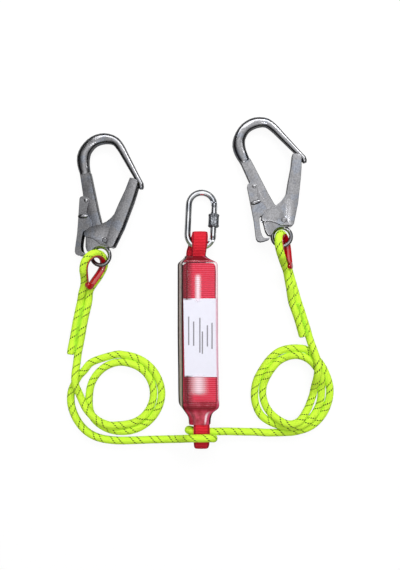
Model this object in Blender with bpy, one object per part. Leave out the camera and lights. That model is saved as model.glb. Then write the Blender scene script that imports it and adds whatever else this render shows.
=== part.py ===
"""Twin shock-absorbing lanyard, laid flat: an energy absorber in a film sleeve, a screw-lock oval
carabiner on its top loop, one rope hitched through its bottom loop, and a double-action
scaffold hook on a thimble eye at each end of the rope. Lengths are in millimetres until MM."""

import math

import bmesh
import bpy
import numpy as np
from mathutils import Vector

MM = 0.001

# Where the lanyard's own bottom centre lies, so that the packed object stands on its origin.
SHIFT = (1.76, -3.17, 0.0)

ROPE_RADIUS = 6.0
ROPE_FLOOR = 6.1
ROPE_GAP = 0.8

# The hook, drawn from its gate rivet, with the eye ring below it and the lever rivet above.
EYE = (-9.5, -24.5)
LEVER_PIVOT = (-32.5, 66.0)
EYE_RING_RADIUS = 15.2
EYE_BAR_RADIUS = 3.3
BODY_HALF = 6.0
LEVER_INNER = BODY_HALF + 0.3
LEVER_OUTER = LEVER_INNER + 1.5
GATE_INNER = LEVER_OUTER + 0.3
GATE_OUTER = GATE_INNER + 2.0
RIVET_RADIUS = 4.0
LEVER_RIVET_RADIUS = 2.2
FIT = 0.12
CHANNEL_WALL = 2.0

# Each hook's eye centre, its pitch, roll and turn on the floor, and its thimble.
HOOKS = {
    "left": ((-147.3, 46.3, 19.5), (-2.5, -6.0, 0.0)),
    "right": ((148.8, 77.6, 19.5), (-3.1, -3.0, 14.2)),
}
THIMBLES = {
    "left": ((-157.2, 31.0, 23.5), (8.0, 50.0, -18.0)),
    "right": ((149.5, 62.0, 27.2), (12.0, 62.0, 15.0)),
}
LOOP_RADIUS = 20.5
LOOP_PAIR = 6.3
LOOP_LENGTH = 45.0
GROOVE_RADIUS = ROPE_RADIUS + 0.4
THIMBLE_RADIUS = GROOVE_RADIUS + 1.1
THIMBLE_END = 36.5

# The oval carabiner, drawn from the middle of its lower bar.
CARABINER_PLACE = (14.7, 60.4, 16.9)
CARABINER_TURN = (-6.0, 0.0, -2.5)
OVAL_HALF = 21.0
OVAL_STRAIGHT = 50.0
OVAL_TOP = OVAL_HALF + OVAL_STRAIGHT
BAR_RADIUS = 5.0
HINGE = (OVAL_HALF - 0.2, OVAL_HALF - 3.5)
LATCH = (OVAL_HALF, OVAL_TOP - 2.5)
BLADE_HALF = 1.9
FORK_HALF = 2.3
SLEEVE_BORE = 5.25
SLEEVE_RADIUS = 9.0
SLEEVE_SPAN = (OVAL_HALF + 13.5, OVAL_TOP - 14.5)

# The absorber pack: a slab of folded webbing that leans to its right, in a shrunk film sleeve.
PACK_LEAN = 0.27
PACK_MIDDLE_X = 10.4
PACK_MIDDLE_Z = 18.0
PACK_HALF_WIDTH = 27.4
FILM = 0.5
TEAR_LAYERS = 12
TEAR_THICK = 2.6
TEAR_PITCH = TEAR_THICK + 0.22
TEAR_SPAN = (-201.0, 28.0)
TEAR_BOTTOM = 0.8
TEAR_TOP = TEAR_BOTTOM + (TEAR_LAYERS - 1) * TEAR_PITCH + TEAR_THICK
LABEL_SPAN = (TEAR_TOP + 0.63, TEAR_TOP + 0.93)
PACK_TOP = TEAR_TOP + 1.88
LOOP_THICK = 3.0

for leftover in list(bpy.data.objects):
    bpy.data.objects.remove(leftover, do_unlink=True)


def material(name, colour, metallic, roughness):
    made = bpy.data.materials.new(name)
    made.use_nodes = True
    shader = made.node_tree.nodes["Principled BSDF"]
    shader.inputs["Base Color"].default_value = (*colour, 1.0)
    shader.inputs["Metallic"].default_value = metallic
    shader.inputs["Roughness"].default_value = roughness
    return made


def frame_at(name, place, turn=(0.0, 0.0, 0.0), parent=None):
    """An empty that carries pieces: turn is pitch about X, roll about Y, then yaw about Z."""
    empty = bpy.data.objects.new(name, None)
    bpy.context.scene.collection.objects.link(empty)
    empty.rotation_mode = "YXZ"
    empty.rotation_euler = [math.radians(angle) for angle in turn]
    empty.location = Vector(place) * MM
    empty.parent = parent
    return empty


LAY = frame_at("lay", SHIFT)


def dress(name, data, look, parent):
    """Gives the piece a material of its own and its place in the tree."""
    colour, metallic, roughness = look
    data.materials.append(material(name + "_material", colour, metallic, roughness))
    piece = bpy.data.objects.new(name, data)
    bpy.context.scene.collection.objects.link(piece)
    piece.parent = parent
    return piece


def solid(name, shape, look, parent, origin=(0.0, 0.0, 0.0)):
    points, faces = shape
    mesh = bpy.data.meshes.new(name)
    made = bmesh.new()
    corners = [made.verts.new((Vector(point) - Vector(origin)) * MM) for point in points]
    for face in faces:
        made.faces.new([corners[index] for index in face])
    bmesh.ops.recalc_face_normals(made, faces=made.faces)
    made.to_mesh(mesh)
    made.free()
    mesh.shade_smooth()
    mesh.set_sharp_from_angle(angle=math.radians(35))
    return dress(name, mesh, look, parent)


def change(piece, shape, operation, origin=(0.0, 0.0, 0.0)):
    """Joins a shape to the piece, or cuts it out, with a helper that no render shows."""
    count = len(piece.modifiers)
    helper = solid(f"{piece.name}_helper_{count}", shape, ((0.5, 0.5, 0.5), 0.0, 0.5), piece.parent, origin)
    helper.hide_render = True
    helper.display_type = "WIRE"
    step = piece.modifiers.new(f"{operation.lower()} {count}", "BOOLEAN")
    step.operation = operation
    step.solver = "EXACT"
    step.object = helper
    return piece


def loft(rings, capped=True):
    """Faces between rings of points; with no caps the last ring meets the first."""
    count = len(rings[0])
    total = len(rings)
    faces = []
    for start in range(total - 1 if capped else total):
        here = start * count
        there = (start + 1) % total * count
        for corner in range(count):
            after = (corner + 1) % count
            faces.append((here + corner, here + after, there + after, there + corner))
    if capped:
        faces.append(tuple(range(count)))
        faces.append(tuple(range((total - 1) * count, total * count)))
    return np.concatenate(rings), faces


def inset(outline, depth):
    """The outline moved inwards by depth, corner by corner."""
    flat = np.array(outline, float)
    before = flat - np.roll(flat, 1, axis=0)
    after = np.roll(flat, -1, axis=0) - flat
    area = np.sum(flat[:, 0] * np.roll(flat[:, 1], -1) - flat[:, 1] * np.roll(flat[:, 0], -1))
    sign = 1.0 if area > 0 else -1.0
    normals = []
    for first, second in zip(before, after):
        one = np.array((-first[1], first[0])) / np.linalg.norm(first)
        two = np.array((-second[1], second[0])) / np.linalg.norm(second)
        both = one + two
        normals.append(both / max(0.6, np.dot(both, both) / 2))
    return flat + sign * depth * np.array(normals)


def plate(outline, low, high, chamfer=0.0):
    """A flat plate over the outline, its long edges broken by the chamfer."""
    flat = np.array(outline, float)
    if chamfer == 0:
        levels = [(flat, low), (flat, high)]
    else:
        small = inset(outline, chamfer)
        levels = [(small, low), (flat, low + chamfer), (flat, high - chamfer), (small, high)]
    return loft([np.column_stack([at, np.full(len(at), z)]) for at, z in levels])


def disc(centre, profile, sides=20):
    """A turned shape about an upright line: profile holds (radius, height) from bottom to top."""
    angles = np.linspace(0, 2 * math.pi, sides, endpoint=False)
    rings = []
    for radius, height in profile:
        ring = np.column_stack([np.cos(angles), np.sin(angles), np.zeros(sides)]) * radius
        rings.append(ring + (centre[0], centre[1], height))
    return loft(rings)


def carried_frames(path, closed):
    """Unit side and up vectors carried along the path without twist."""
    path = np.array(path, float)
    if closed:
        tangents = np.roll(path, -1, axis=0) - np.roll(path, 1, axis=0)
    else:
        tangents = np.gradient(path, axis=0)
    tangents /= np.linalg.norm(tangents, axis=1)[:, None]
    guide = np.array((0.0, 0.0, 1.0)) if abs(tangents[0][2]) < 0.9 else np.array((1.0, 0.0, 0.0))
    sides, ups = [], []
    for tangent in tangents:
        side = np.cross(tangent, guide)
        side /= np.linalg.norm(side)
        guide = np.cross(side, tangent)
        sides.append(side)
        ups.append(guide)
    return path, np.array(sides), np.array(ups)


def tube(path, radius, sides=10, closed=False):
    """A round bar along the path; radius may be one number or one for each point."""
    path, across, ups = carried_frames(path, closed)
    radii = np.broadcast_to(radius, len(path))
    angles = np.linspace(0, 2 * math.pi, sides, endpoint=False)
    rings = []
    for point, side, up, size in zip(path, across, ups, radii):
        rings.append(point + size * (np.outer(np.cos(angles), side) + np.outer(np.sin(angles), up)))
    return loft(rings, capped=not closed)


def smooth_route(route, spacing):
    """Points on a smooth curve through the route's points, about a spacing apart. Any columns
    after the first three are carried along."""
    knots = np.array(route, float)
    padded = np.vstack([2 * knots[0] - knots[1], knots, 2 * knots[-1] - knots[-2]])
    fine = []
    for index in range(1, len(padded) - 2):
        before, start, end, after = padded[index - 1 : index + 3]
        for step in np.linspace(0, 1, 12, endpoint=False):
            fine.append(
                0.5
                * (
                    2 * start
                    + (end - before) * step
                    + (2 * before - 5 * start + 4 * end - after) * step**2
                    + (3 * start - before - 3 * end + after) * step**3
                )
            )
    fine.append(knots[-1])
    fine = np.array(fine)
    fine[:, 2] = np.maximum(fine[:, 2], min(ROPE_FLOOR, knots[:, 2].min()))
    along = np.concatenate([[0], np.cumsum(np.linalg.norm(np.diff(fine[:, :3], axis=0), axis=1))])
    stops = np.linspace(0, along[-1], max(2, round(along[-1] / spacing) + 1))
    return np.column_stack([np.interp(stops, along, fine[:, axis]) for axis in range(fine.shape[1])])


def cord(name, points, look, radius=ROPE_RADIUS):
    curve = bpy.data.curves.new(name, "CURVE")
    curve.dimensions = "3D"
    curve.bevel_depth = radius * MM
    curve.bevel_resolution = 4
    curve.use_fill_caps = True
    spline = curve.splines.new("POLY")
    spline.points.add(len(points) - 1)
    for knot, place in zip(spline.points, points):
        knot.co = (*(Vector(place) * MM), 1.0)
    return dress(name, curve, look, LAY)


STEEL = ((0.30, 0.31, 0.32), 1.0, 0.38)
BRIGHT_STEEL = ((0.60, 0.60, 0.60), 1.0, 0.22)
DARK_STEEL = ((0.22, 0.22, 0.23), 1.0, 0.40)
SPRING_STEEL = ((0.35, 0.35, 0.36), 1.0, 0.30)
RED_PLASTIC = ((0.60, 0.010, 0.018), 0.0, 0.35)
RED_WEB = ((0.70, 0.012, 0.04), 0.0, 0.85)
ROPE_LOOK = ((0.57, 1.0, 0.03), 0.0, 0.90)
THREAD = ((0.50, 0.75, 0.10), 0.0, 0.85)
LABEL_LOOK = ((0.85, 0.85, 0.87), 0.0, 0.60)
FILM_LOOK = ((0.80, 0.25, 0.30), 0.0, 0.15)


def arc(centre, radius, start, end, count):
    angles = np.radians(np.linspace(start, end, count))
    return [(centre[0] + radius * math.cos(a), centre[1] + radius * math.sin(a)) for a in angles]


BODY_OUTLINE = [
    (-44.6, 113.0), (-41.6, 94.0), (-38.6, 76.1), (-37.0, 40.0), (-34.3, 20.0),
    (-33.5, 12.5), (-33.5, -10.0), (-31.5, -16.5), (-26.8, -19.5), (-22.7, -16.9),
    (-17.1, -11.3), (-9.5, -9.3), (-1.9, -11.3), (3.4, -12.2), (8.5, -8.5),
    (11.6, -3.0), (12.0, 3.0), (9.0, 10.0), (5.0, 17.0), (0.0, 22.5),
    (-5.8, 26.1), (-8.2, 30.0), (-13.4, 50.0), (-19.3, 76.7), (-26.1, 108.1), (-27.5, 113.0),
]
# Middle point, width across and thickness of the bow, from its step on the body to the nose.
BOW_STATIONS = [
    (-36.2, 110.0, 17.4, 15.0), (-36.9, 114.0, 18.0, 15.0), (-38.6, 121.0, 19.4, 15.6),
    (-39.7, 127.0, 20.2, 16.0), (-39.9, 139.0, 21.3, 17.0), (-35.2, 151.9, 19.6, 16.5),
    (-22.4, 164.7, 18.4, 16.0), (-5.0, 169.4, 17.9, 15.5), (12.5, 165.4, 15.0, 14.5),
    (22.6, 154.0, 13.6, 13.5), (32.3, 136.5, 12.0, 12.5), (43.6, 116.0, 10.6, 11.5),
    (50.6, 103.0, 9.6, 11.0), (57.0, 92.0, 9.0, 11.0), (57.6, 87.0, 8.6, 10.6), (57.6, 84.0, 6.0, 8.0),
]
GATE_OUTLINE = [
    (40.6, 101.3), (46.5, 100.6), (52.4, 97.0), (53.6, 93.0), (48.5, 75.0), (43.6, 60.0),
    (36.2, 40.0), (28.6, 20.5), (13.6, -10.3), (9.5, -12.2), (4.5, -10.5), (-7.5, -7.0),
    (-14.0, -1.5), (-20.5, 3.0), (-32.4, 5.6), (-35.4, 9.6), (-34.6, 13.8), (-30.7, 17.6),
    (-22.3, 23.0), (-8.3, 25.6), (2.5, 30.5), (9.5, 36.0), (15.0, 42.2), (22.8, 60.2), (33.2, 82.0),
]
GATE_WEB = [(15.0, 42.2), (22.8, 60.2), (33.2, 82.0), (40.6, 101.3)]
LATCH_BUTTON = (-31.0, 11.7)
LEVER_TAB = 5.3
LEVER_OUTLINE = [
    (-39.0, 73.2), (-43.7, 69.3), (-45.4, 38.0), (-47.0, 12.4), (-50.8, -15.7), (-47.5, -22.0),
    (-41.3, -23.5), (-31.0, -22.5), (-29.0, -20.5), (-29.5, -17.5), (-44.4, -17.0),
    (-43.0, 0.0), (-40.7, 16.2), (-22.4, 16.5), (-21.9, 26.1), (-31.8, 46.2),
    (-28.7, 62.3), (-27.2, 66.0), (-28.7, 69.8), (-32.5, 71.3),
]
LEVER_RIB = (-44.6, -29.4, 36.0, 43.0)


def bow_shape():
    drawn = np.array(BOW_STATIONS)
    drawn = np.column_stack([drawn[:, :2], np.zeros(len(drawn)), drawn[:, 2:]])
    curve = smooth_route(drawn[1:-2], 6.5)
    stations = np.vstack([drawn[:1], curve, drawn[-2:]])
    path, sides, ups = carried_frames(stations[:, :3], False)
    angles = np.linspace(0, 2 * math.pi, 14, endpoint=False)
    across = np.sign(np.cos(angles)) * np.abs(np.cos(angles)) ** 0.8
    upward = np.sign(np.sin(angles)) * np.abs(np.sin(angles)) ** 0.8
    rings = []
    for point, side, up, width, thick in zip(path, sides, ups, stations[:, 3], stations[:, 4]):
        rings.append(point + np.outer(across, side) * width / 2 + np.outer(upward, up) * thick / 2)
    return loft(rings)


def moved_inwards(edge, distance):
    """The gate's inner edge moved across its web, as one side of the channel cutter."""
    pairs = np.array(edge, float)
    steps = np.gradient(pairs, axis=0)
    steps /= np.linalg.norm(steps, axis=1)[:, None]
    return pairs + np.column_stack([steps[:, 1], -steps[:, 0]]) * distance


def make_hook(side):
    place, turn = HOOKS[side]
    hook = frame_at(side + "_hook_frame", place, turn, LAY)
    from_eye = (EYE[0], EYE[1], 0.0)
    gate = frame_at(side + "_gate_frame", (-EYE[0], -EYE[1], 0.0), parent=hook)
    lever_at = (LEVER_PIVOT[0], LEVER_PIVOT[1], 0.0)
    lever = frame_at(side + "_lever_frame", Vector(lever_at) - Vector(from_eye), parent=hook)

    body = solid(side + "_hook_body", plate(BODY_OUTLINE, -BODY_HALF, BODY_HALF, 0.9), STEEL, hook, from_eye)
    change(body, bow_shape(), "UNION", from_eye)
    around = arc(EYE, EYE_RING_RADIUS, 0, 345, 24)
    ring = tube([(x, y, 0.0) for x, y in around], EYE_BAR_RADIUS, 12, closed=True)
    change(body, ring, "UNION", from_eye)
    bore = RIVET_RADIUS + FIT
    change(body, disc((0, 0), [(bore, -9), (bore, 9)], 16), "DIFFERENCE", from_eye)
    bore = LEVER_RIVET_RADIUS + FIT
    change(body, disc(LEVER_PIVOT, [(bore, -9), (bore, 9)], 12), "DIFFERENCE", from_eye)

    cheeks = solid(side + "_gate", plate(GATE_OUTLINE, -GATE_OUTER, GATE_OUTER, 0.6), STEEL, gate)
    wall = moved_inwards(GATE_WEB, CHANNEL_WALL)
    hollow = [tuple(point) for point in wall]
    hollow += [(46.0, 106.0), (70.0, 106.0), (70.0, -30.0), (-50.0, -30.0), (-50.0, 40.0), (6.0, 40.0), (14.0, 38.0)]
    change(cheeks, plate(hollow, -GATE_INNER, GATE_INNER), "DIFFERENCE")
    bore = RIVET_RADIUS + FIT
    change(cheeks, disc((0, 0), [(bore, -12), (bore, 12)], 16), "DIFFERENCE")
    for face in (1, -1):
        levels = sorted([(2.5, face * (GATE_INNER + 0.8)), (2.5, face * (LEVER_INNER + 0.3))], key=lambda at: at[1])
        change(cheeks, disc(LATCH_BUTTON, levels, 12), "UNION")

    dome = GATE_OUTER + 0.3
    profile = [(5.0, -dome - 1.2), (6.5, -dome - 0.5), (6.5, -dome), (RIVET_RADIUS, -dome)]
    profile += [(RIVET_RADIUS, dome), (6.5, dome), (6.5, dome + 0.5), (5.0, dome + 1.2)]
    solid(side + "_gate_rivet", disc((0, 0), profile, 18), BRIGHT_STEEL, hook, from_eye)

    bar = solid(side + "_lock_lever", plate(LEVER_OUTLINE, -LEVER_OUTER, LEVER_OUTER, 0.4), STEEL, lever, lever_at)
    back = [(-43.0, 73.5), (-41.4, 69.0), (-43.4, 38.0), (-45.0, 12.4), (-48.6, -15.7), (-46.2, -20.4), (-41.0, -30.0)]
    back += [(-10.0, -30.0), (-10.0, 80.0), (-40.0, 80.0)]
    change(bar, plate(back, -LEVER_INNER, LEVER_INNER), "DIFFERENCE", lever_at)
    bore = LEVER_RIVET_RADIUS + FIT
    change(bar, disc(LEVER_PIVOT, [(bore, -9), (bore, 9)], 12), "DIFFERENCE", lever_at)
    left, right, low, high = LEVER_RIB
    for face in (1, -1):
        rib = [(left, low), (right, low + 1.0), (right, high), (left, high)]
        span = sorted((face * (LEVER_OUTER - 0.4), face * (LEVER_OUTER + 0.7)))
        change(bar, plate(rib, span[0], span[1], 0.3), "UNION", lever_at)

    dome = LEVER_OUTER + 0.3
    profile = [(2.6, -dome - 0.9), (3.3, -dome - 0.4), (3.3, -dome), (LEVER_RIVET_RADIUS, -dome)]
    profile += [(LEVER_RIVET_RADIUS, dome), (3.3, dome), (3.3, dome + 0.4), (2.6, dome + 0.9)]
    solid(side + "_lever_rivet", disc(LEVER_PIVOT, profile, 14), BRIGHT_STEEL, hook, from_eye)

    coil_z = (BODY_HALF + GATE_INNER) / 2
    coil = [(x, y, coil_z) for x, y in arc((0, 0), 6.4, -60, 210, 16)]
    coil = [(15.5, -1.5, coil_z), (9.0, -3.6, coil_z)] + coil[2:] + [(-7.6, 2.0, coil_z), (-6.0, 12.0, coil_z)]
    solid(side + "_gate_spring", tube(coil, 0.55, 6), SPRING_STEEL, gate)

    leaf = [(-38.7, 64.0), (-39.0, 60.0), (-39.9, 56.5), (-39.6, 53.5)]
    strip = [(x - 0.25, y) for x, y in leaf] + [(x + 0.25, y) for x, y in reversed(leaf)]
    solid(side + "_lever_spring", plate(strip, -3.0, 3.0), SPRING_STEEL, hook, from_eye)


def loop_stations():
    """(u, v) along the rope's eye in its own plane, from the left limb over the crown to the right."""
    limb = []
    for share in np.linspace(1, 0, 5, endpoint=False):
        spread = LOOP_RADIUS + (LOOP_PAIR - LOOP_RADIUS) * (3 * share**2 - 2 * share**3)
        limb.append((-spread, -LOOP_LENGTH * share))
    crown = arc((0, 0), LOOP_RADIUS, 180, 0, 9)
    mirrored = [(-u, v) for u, v in reversed(limb)]
    return np.array(limb + crown + mirrored)


def loop_places(side, stations):
    """The eye's stations laid in the world, with the plane's own upright and its two directions."""
    place, (pitch, tilt, yaw) = THIMBLES[side]
    pitch, tilt, yaw = (math.radians(angle) for angle in (pitch, tilt, yaw))
    about_y = np.array([[math.cos(tilt), 0, math.sin(tilt)], [0, 1, 0], [-math.sin(tilt), 0, math.cos(tilt)]])
    about_x = np.array([[1, 0, 0], [0, math.cos(pitch), -math.sin(pitch)], [0, math.sin(pitch), math.cos(pitch)]])
    about_z = np.array([[math.cos(yaw), -math.sin(yaw), 0], [math.sin(yaw), math.cos(yaw), 0], [0, 0, 1]])
    turned = about_z @ about_x @ about_y
    flat = np.column_stack([stations, np.zeros(len(stations))])
    return flat @ turned.T + np.array(place), turned


def make_thimble(side):
    stations = loop_stations()
    kept = stations[:, 1] > -THIMBLE_END
    tangents = np.gradient(stations, axis=0)
    tangents /= np.linalg.norm(tangents, axis=1)[:, None]
    tangents = tangents[kept]
    places, turned = loop_places(side, stations[kept])
    normal = turned[:, 2]
    angles = np.radians(np.linspace(-92, 92, 9))
    rings = []
    for place, (along_u, along_v) in zip(places, tangents):
        inward = turned @ np.array((along_v, -along_u, 0.0))
        outer = [place + THIMBLE_RADIUS * (math.cos(a) * inward + math.sin(a) * normal) for a in angles]
        inner = [place + GROOVE_RADIUS * (math.cos(a) * inward + math.sin(a) * normal) for a in angles[::-1]]
        rings.append(np.array(outer + inner))
    shell = solid(side + "_thimble", loft(rings), RED_PLASTIC, LAY)
    wedge = [(-5.5, -25.0), (5.5, -25.0), (3.3, -30.0), (1.4, -34.5), (0.6, -38.0), (-0.6, -38.0), (-1.4, -34.5), (-3.3, -30.0)]
    points, faces = plate(wedge, -2.0, 2.0)
    corners = points @ turned.T + np.array(THIMBLES[side][0])
    change(shell, (corners, faces), "UNION")


def make_rope(side, tail, standing):
    """The rope's eye with its sewn-back tail, and the length that runs on from it."""
    stations, _ = loop_places(side, loop_stations())
    tail = smooth_route([stations[0] * 1.0] + tail, 15.0)[1:]
    run = smooth_route([stations[-1] * 1.0] + standing, 15.0)[1:]
    eye_run = run[:2]
    eye = np.vstack([tail[::-1], stations, eye_run])
    cord(side + "_rope_eye", eye, ROPE_LOOK)
    rest = run[1:].copy()
    rest[0] += (rest[1] - rest[0]) / np.linalg.norm(rest[1] - rest[0]) * ROPE_GAP
    cord(side + "_rope_run", rest, ROPE_LOOK)


def make_stitching(side, route, width, lean):
    """Seam thread laid in the groove between the two strands of an eye, leaning as they do."""
    path, sides, _ = carried_frames(smooth_route(route, 5.0), False)
    half = width / 2
    tip = math.radians(lean)
    rings = []
    for index, (point, level) in enumerate(zip(path, sides)):
        reach = half if index % 2 else half * 0.55
        across = level * math.cos(tip) - np.array((0.0, 0.0, math.sin(tip)))
        up = level * math.sin(tip) + np.array((0.0, 0.0, math.cos(tip)))
        low, high = point - up * 0.35, point + up * 0.35
        rings.append(np.array([low - across * reach, low + across * reach, high + across * reach, high - across * reach]))
    solid(side + "_stitching", loft(rings), THREAD, LAY)


def make_coil(name, outer_centre, outer_half, inner_centre, inner_half):
    """A flat ring of rope turns lying side by side."""
    angles = np.radians(np.arange(0, 360, 10))
    middle = np.array(inner_centre)
    rings = []
    for angle in angles:
        ray = np.array((math.cos(angle), math.sin(angle)))
        reach = []
        for centre, half in ((inner_centre, inner_half), (outer_centre, outer_half)):
            offset = (middle - np.array(centre)) / half
            scaled = ray / half
            a, b, c = scaled @ scaled, 2 * scaled @ offset, offset @ offset - 1
            reach.append((-b + math.sqrt(b * b - 4 * a * c)) / (2 * a))
        near, far = reach[0] + ROPE_RADIUS, reach[1] - ROPE_RADIUS
        turn = np.radians((180, 140, 100))
        section = [(near + ROPE_RADIUS * math.cos(a), ROPE_RADIUS * math.sin(a)) for a in turn]
        section += [(far - ROPE_RADIUS * math.cos(a), ROPE_RADIUS * math.sin(a)) for a in turn[::-1]]
        section += [(x, -z) for x, z in section[-2:0:-1]]
        rings.append(np.array([(*(middle + ray * x), ROPE_FLOOR + z) for x, z in section]))
    solid(name, loft(rings, capped=False), ROPE_LOOK, LAY)


def make_carabiner():
    frame = frame_at("carabiner_frame", CARABINER_PLACE, CARABINER_TURN, LAY)
    gate = frame_at("carabiner_gate_frame", (HINGE[0], HINGE[1], 0.0), parent=frame)
    hinge_at = (HINGE[0], HINGE[1], 0.0)
    low_arc = arc((0.0, OVAL_HALF), OVAL_HALF, -2, -180, 17)
    top_arc = arc((0.0, OVAL_TOP), OVAL_HALF, 180, 0, 17)
    path = [(x, y, 0.0) for x, y in [(OVAL_HALF, OVAL_HALF + 1.1)] + low_arc + top_arc]
    bumps = [(OVAL_HALF + 0.8, OVAL_TOP - 1.5), (OVAL_HALF + 0.7, OVAL_TOP - 5.0), (OVAL_HALF, OVAL_TOP - 9.1)]
    path += [(x, y, 0.0) for x, y in bumps]
    radii = [BAR_RADIUS] * (len(path) - 3) + [BAR_RADIUS + 0.4, BAR_RADIUS, BAR_RADIUS - 0.4]
    body = solid("carabiner_body", tube(path, radii, 14), BRIGHT_STEEL, frame)
    inside, outside = OVAL_HALF - 9.5, OVAL_HALF + 10.5
    for face in (1, -1):
        low, high = sorted((face * BLADE_HALF, face * 9.0))
        foot, head = HINGE[1] - 7.0, HINGE[1] + 7.0
        blade = [(inside, foot), (outside, foot - 2.0), (outside, head), (inside, head)]
        change(body, plate(blade, low, high), "DIFFERENCE")
        foot, head = OVAL_TOP - 13.5, OVAL_TOP + 5.3
        tongue = [(inside, foot), (outside, foot), (outside, head), (inside, head)]
        change(body, plate(tongue, low, high), "DIFFERENCE")
    foot, head = LATCH[1] - 2.0, LATCH[1] + 1.9
    notch = [(inside, foot), (LATCH[0] + 1.8, foot), (LATCH[0] + 1.8, head), (inside, head)]
    change(body, plate(notch, -4.0, 4.0), "DIFFERENCE")
    change(body, disc(HINGE, [(1.75, -4), (1.75, 4)], 12), "DIFFERENCE")

    foot = HINGE[1]
    heights = [foot - 5.0, foot - 3.0, foot + 10.0, OVAL_TOP - 10.5, OVAL_TOP + 3.1, OVAL_TOP + 4.8]
    rod_path = [(OVAL_HALF, height, 0.0) for height in heights]
    rod = solid("carabiner_gate", tube(rod_path, [3.6, 4.9, 4.9, 4.9, 4.9, 4.0], 14), BRIGHT_STEEL, gate, hinge_at)
    for low, high in ((foot - 10.0, foot + 7.2), (OVAL_TOP - 10.7, OVAL_TOP + 11.5)):
        slot = [(inside, low), (outside, low), (outside, high), (inside, high)]
        change(rod, plate(slot, -FORK_HALF, FORK_HALF), "DIFFERENCE", hinge_at)
    bore = tube([(OVAL_HALF, foot, 0.0), (OVAL_HALF, foot + 26.0, 0.0)], 2.3, 12)
    change(rod, bore, "DIFFERENCE", hinge_at)
    for centre, radius in ((HINGE, 1.75), (LATCH, 1.75)):
        change(rod, disc(centre, [(radius, -9), (radius, 9)], 12), "DIFFERENCE", hinge_at)

    pin = [(1.2, -5.2), (1.5, -4.9), (1.5, 4.9), (1.2, 5.2)]
    solid("carabiner_hinge_pin", disc(HINGE, pin, 12), DARK_STEEL, frame)
    latch = [(1.2, -4.6), (1.5, -4.3), (1.5, 4.3), (1.2, 4.6)]
    solid("carabiner_latch_pin", disc(LATCH, latch, 12), DARK_STEEL, gate, hinge_at)
    plunger = [(1.0, foot + 5.9), (1.9, foot + 7.0), (1.9, foot + 10.6)]
    path = [(OVAL_HALF, y, 0.0) for _, y in plunger]
    solid("carabiner_plunger", tube(path, [radius for radius, _ in plunger], 12), DARK_STEEL, gate, hinge_at)
    turns = 7
    helix = []
    for turn in np.linspace(0, turns, turns * 9 + 1):
        swing = 2 * math.pi * turn
        helix.append((OVAL_HALF + 1.55 * math.cos(swing), foot + 11.4 + 1.95 * turn, 1.55 * math.sin(swing)))
    solid("carabiner_spring", tube(helix, 0.35, 5), SPRING_STEEL, gate, hinge_at)

    low, high = SLEEVE_SPAN
    profile = [(7.2, low), (SLEEVE_RADIUS, low + 1.2), (SLEEVE_RADIUS, low + 3.4), (8.5, low + 3.8), (8.5, high - 3.8)]
    profile += [(SLEEVE_RADIUS, high - 3.4), (SLEEVE_RADIUS, high - 1.2), (7.2, high), (SLEEVE_BORE, high), (SLEEVE_BORE, low)]
    sides = 24
    around = np.linspace(0, 2 * math.pi, sides, endpoint=False)
    rings = []
    for index, angle in enumerate(around):
        ring = []
        for place, (radius, height) in enumerate(profile):
            ribbed = radius - (0.45 if index % 2 and place in (3, 4) else 0.0)
            ring.append((OVAL_HALF + ribbed * math.cos(angle), height, ribbed * math.sin(angle)))
        rings.append(np.array(ring))
    solid("carabiner_screw_sleeve", loft(rings, capped=False), BRIGHT_STEEL, gate, hinge_at)


def leaning(x, z):
    return x + PACK_LEAN * (z - PACK_MIDDLE_Z)


def film_ring(along, middle, half, low, high, corner, lean):
    """Points round a leaning rounded oblong across the pack, outside then inside of the film."""
    loops = []
    for shrink in (0.0, FILM):
        points = []
        reach = max(0.3, corner - shrink)
        wide, tall_low, tall_high = half - shrink, low + shrink, high - shrink
        for cx, cz, start in ((1, 1, 0), (-1, 1, 90), (-1, -1, 180), (1, -1, 270)):
            at_x = middle + cx * (wide - reach)
            at_z = (tall_high - reach) if cz > 0 else (tall_low + reach)
            for x, z in arc((at_x, at_z), reach, start, start + 90, 4):
                points.append((x + lean * (z - PACK_MIDDLE_Z), along, z))
        loops.append(np.array(points))
    return loops


def make_absorber():
    half, top = PACK_HALF_WIDTH, PACK_TOP
    stations = [
        (46.6, 10.5, half - 6.4, 9.0, top - 9.3, 6.0, 0.30), (40.5, 10.4, half - 2.6, 3.6, top - 3.3, 4.0, PACK_LEAN),
        (35.6, 10.4, half - 0.4, 0.7, top - 0.5, 2.0, PACK_LEAN), (31.0, 10.4, half, 0.0, top, 1.6, PACK_LEAN),
        (-84.0, 10.4, half, 0.0, top, 1.6, PACK_LEAN), (-202.4, 10.4, half, 0.0, top, 1.6, PACK_LEAN),
        (-206.5, 11.0, half - 0.4, 1.0, top - 0.5, 2.0, PACK_LEAN),
        (-214.0, 13.5, half - 3.9, 6.5, top - 1.9, 4.0, 0.15), (-227.0, 16.5, half - 7.9, 11.2, top - 4.1, 6.0, 0.0),
    ]
    outer, inner = [], []
    for along, middle, across, low, high, corner, lean in stations:
        outside, inside = film_ring(along, middle, across, low, high, corner, lean)
        outer.append(outside)
        inner.append(inside)
    solid("shock_sleeve", loft(outer + inner[::-1], capped=False), FILM_LOOK, LAY)

    make_serpentine(*TEAR_SPAN)

    label = [(-10.4, -149.0), (41.5, -149.0), (41.5, -22.9), (-10.4, -22.9)]
    solid("label", plate(label, *LABEL_SPAN), LABEL_LOOK, LAY)


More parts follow.
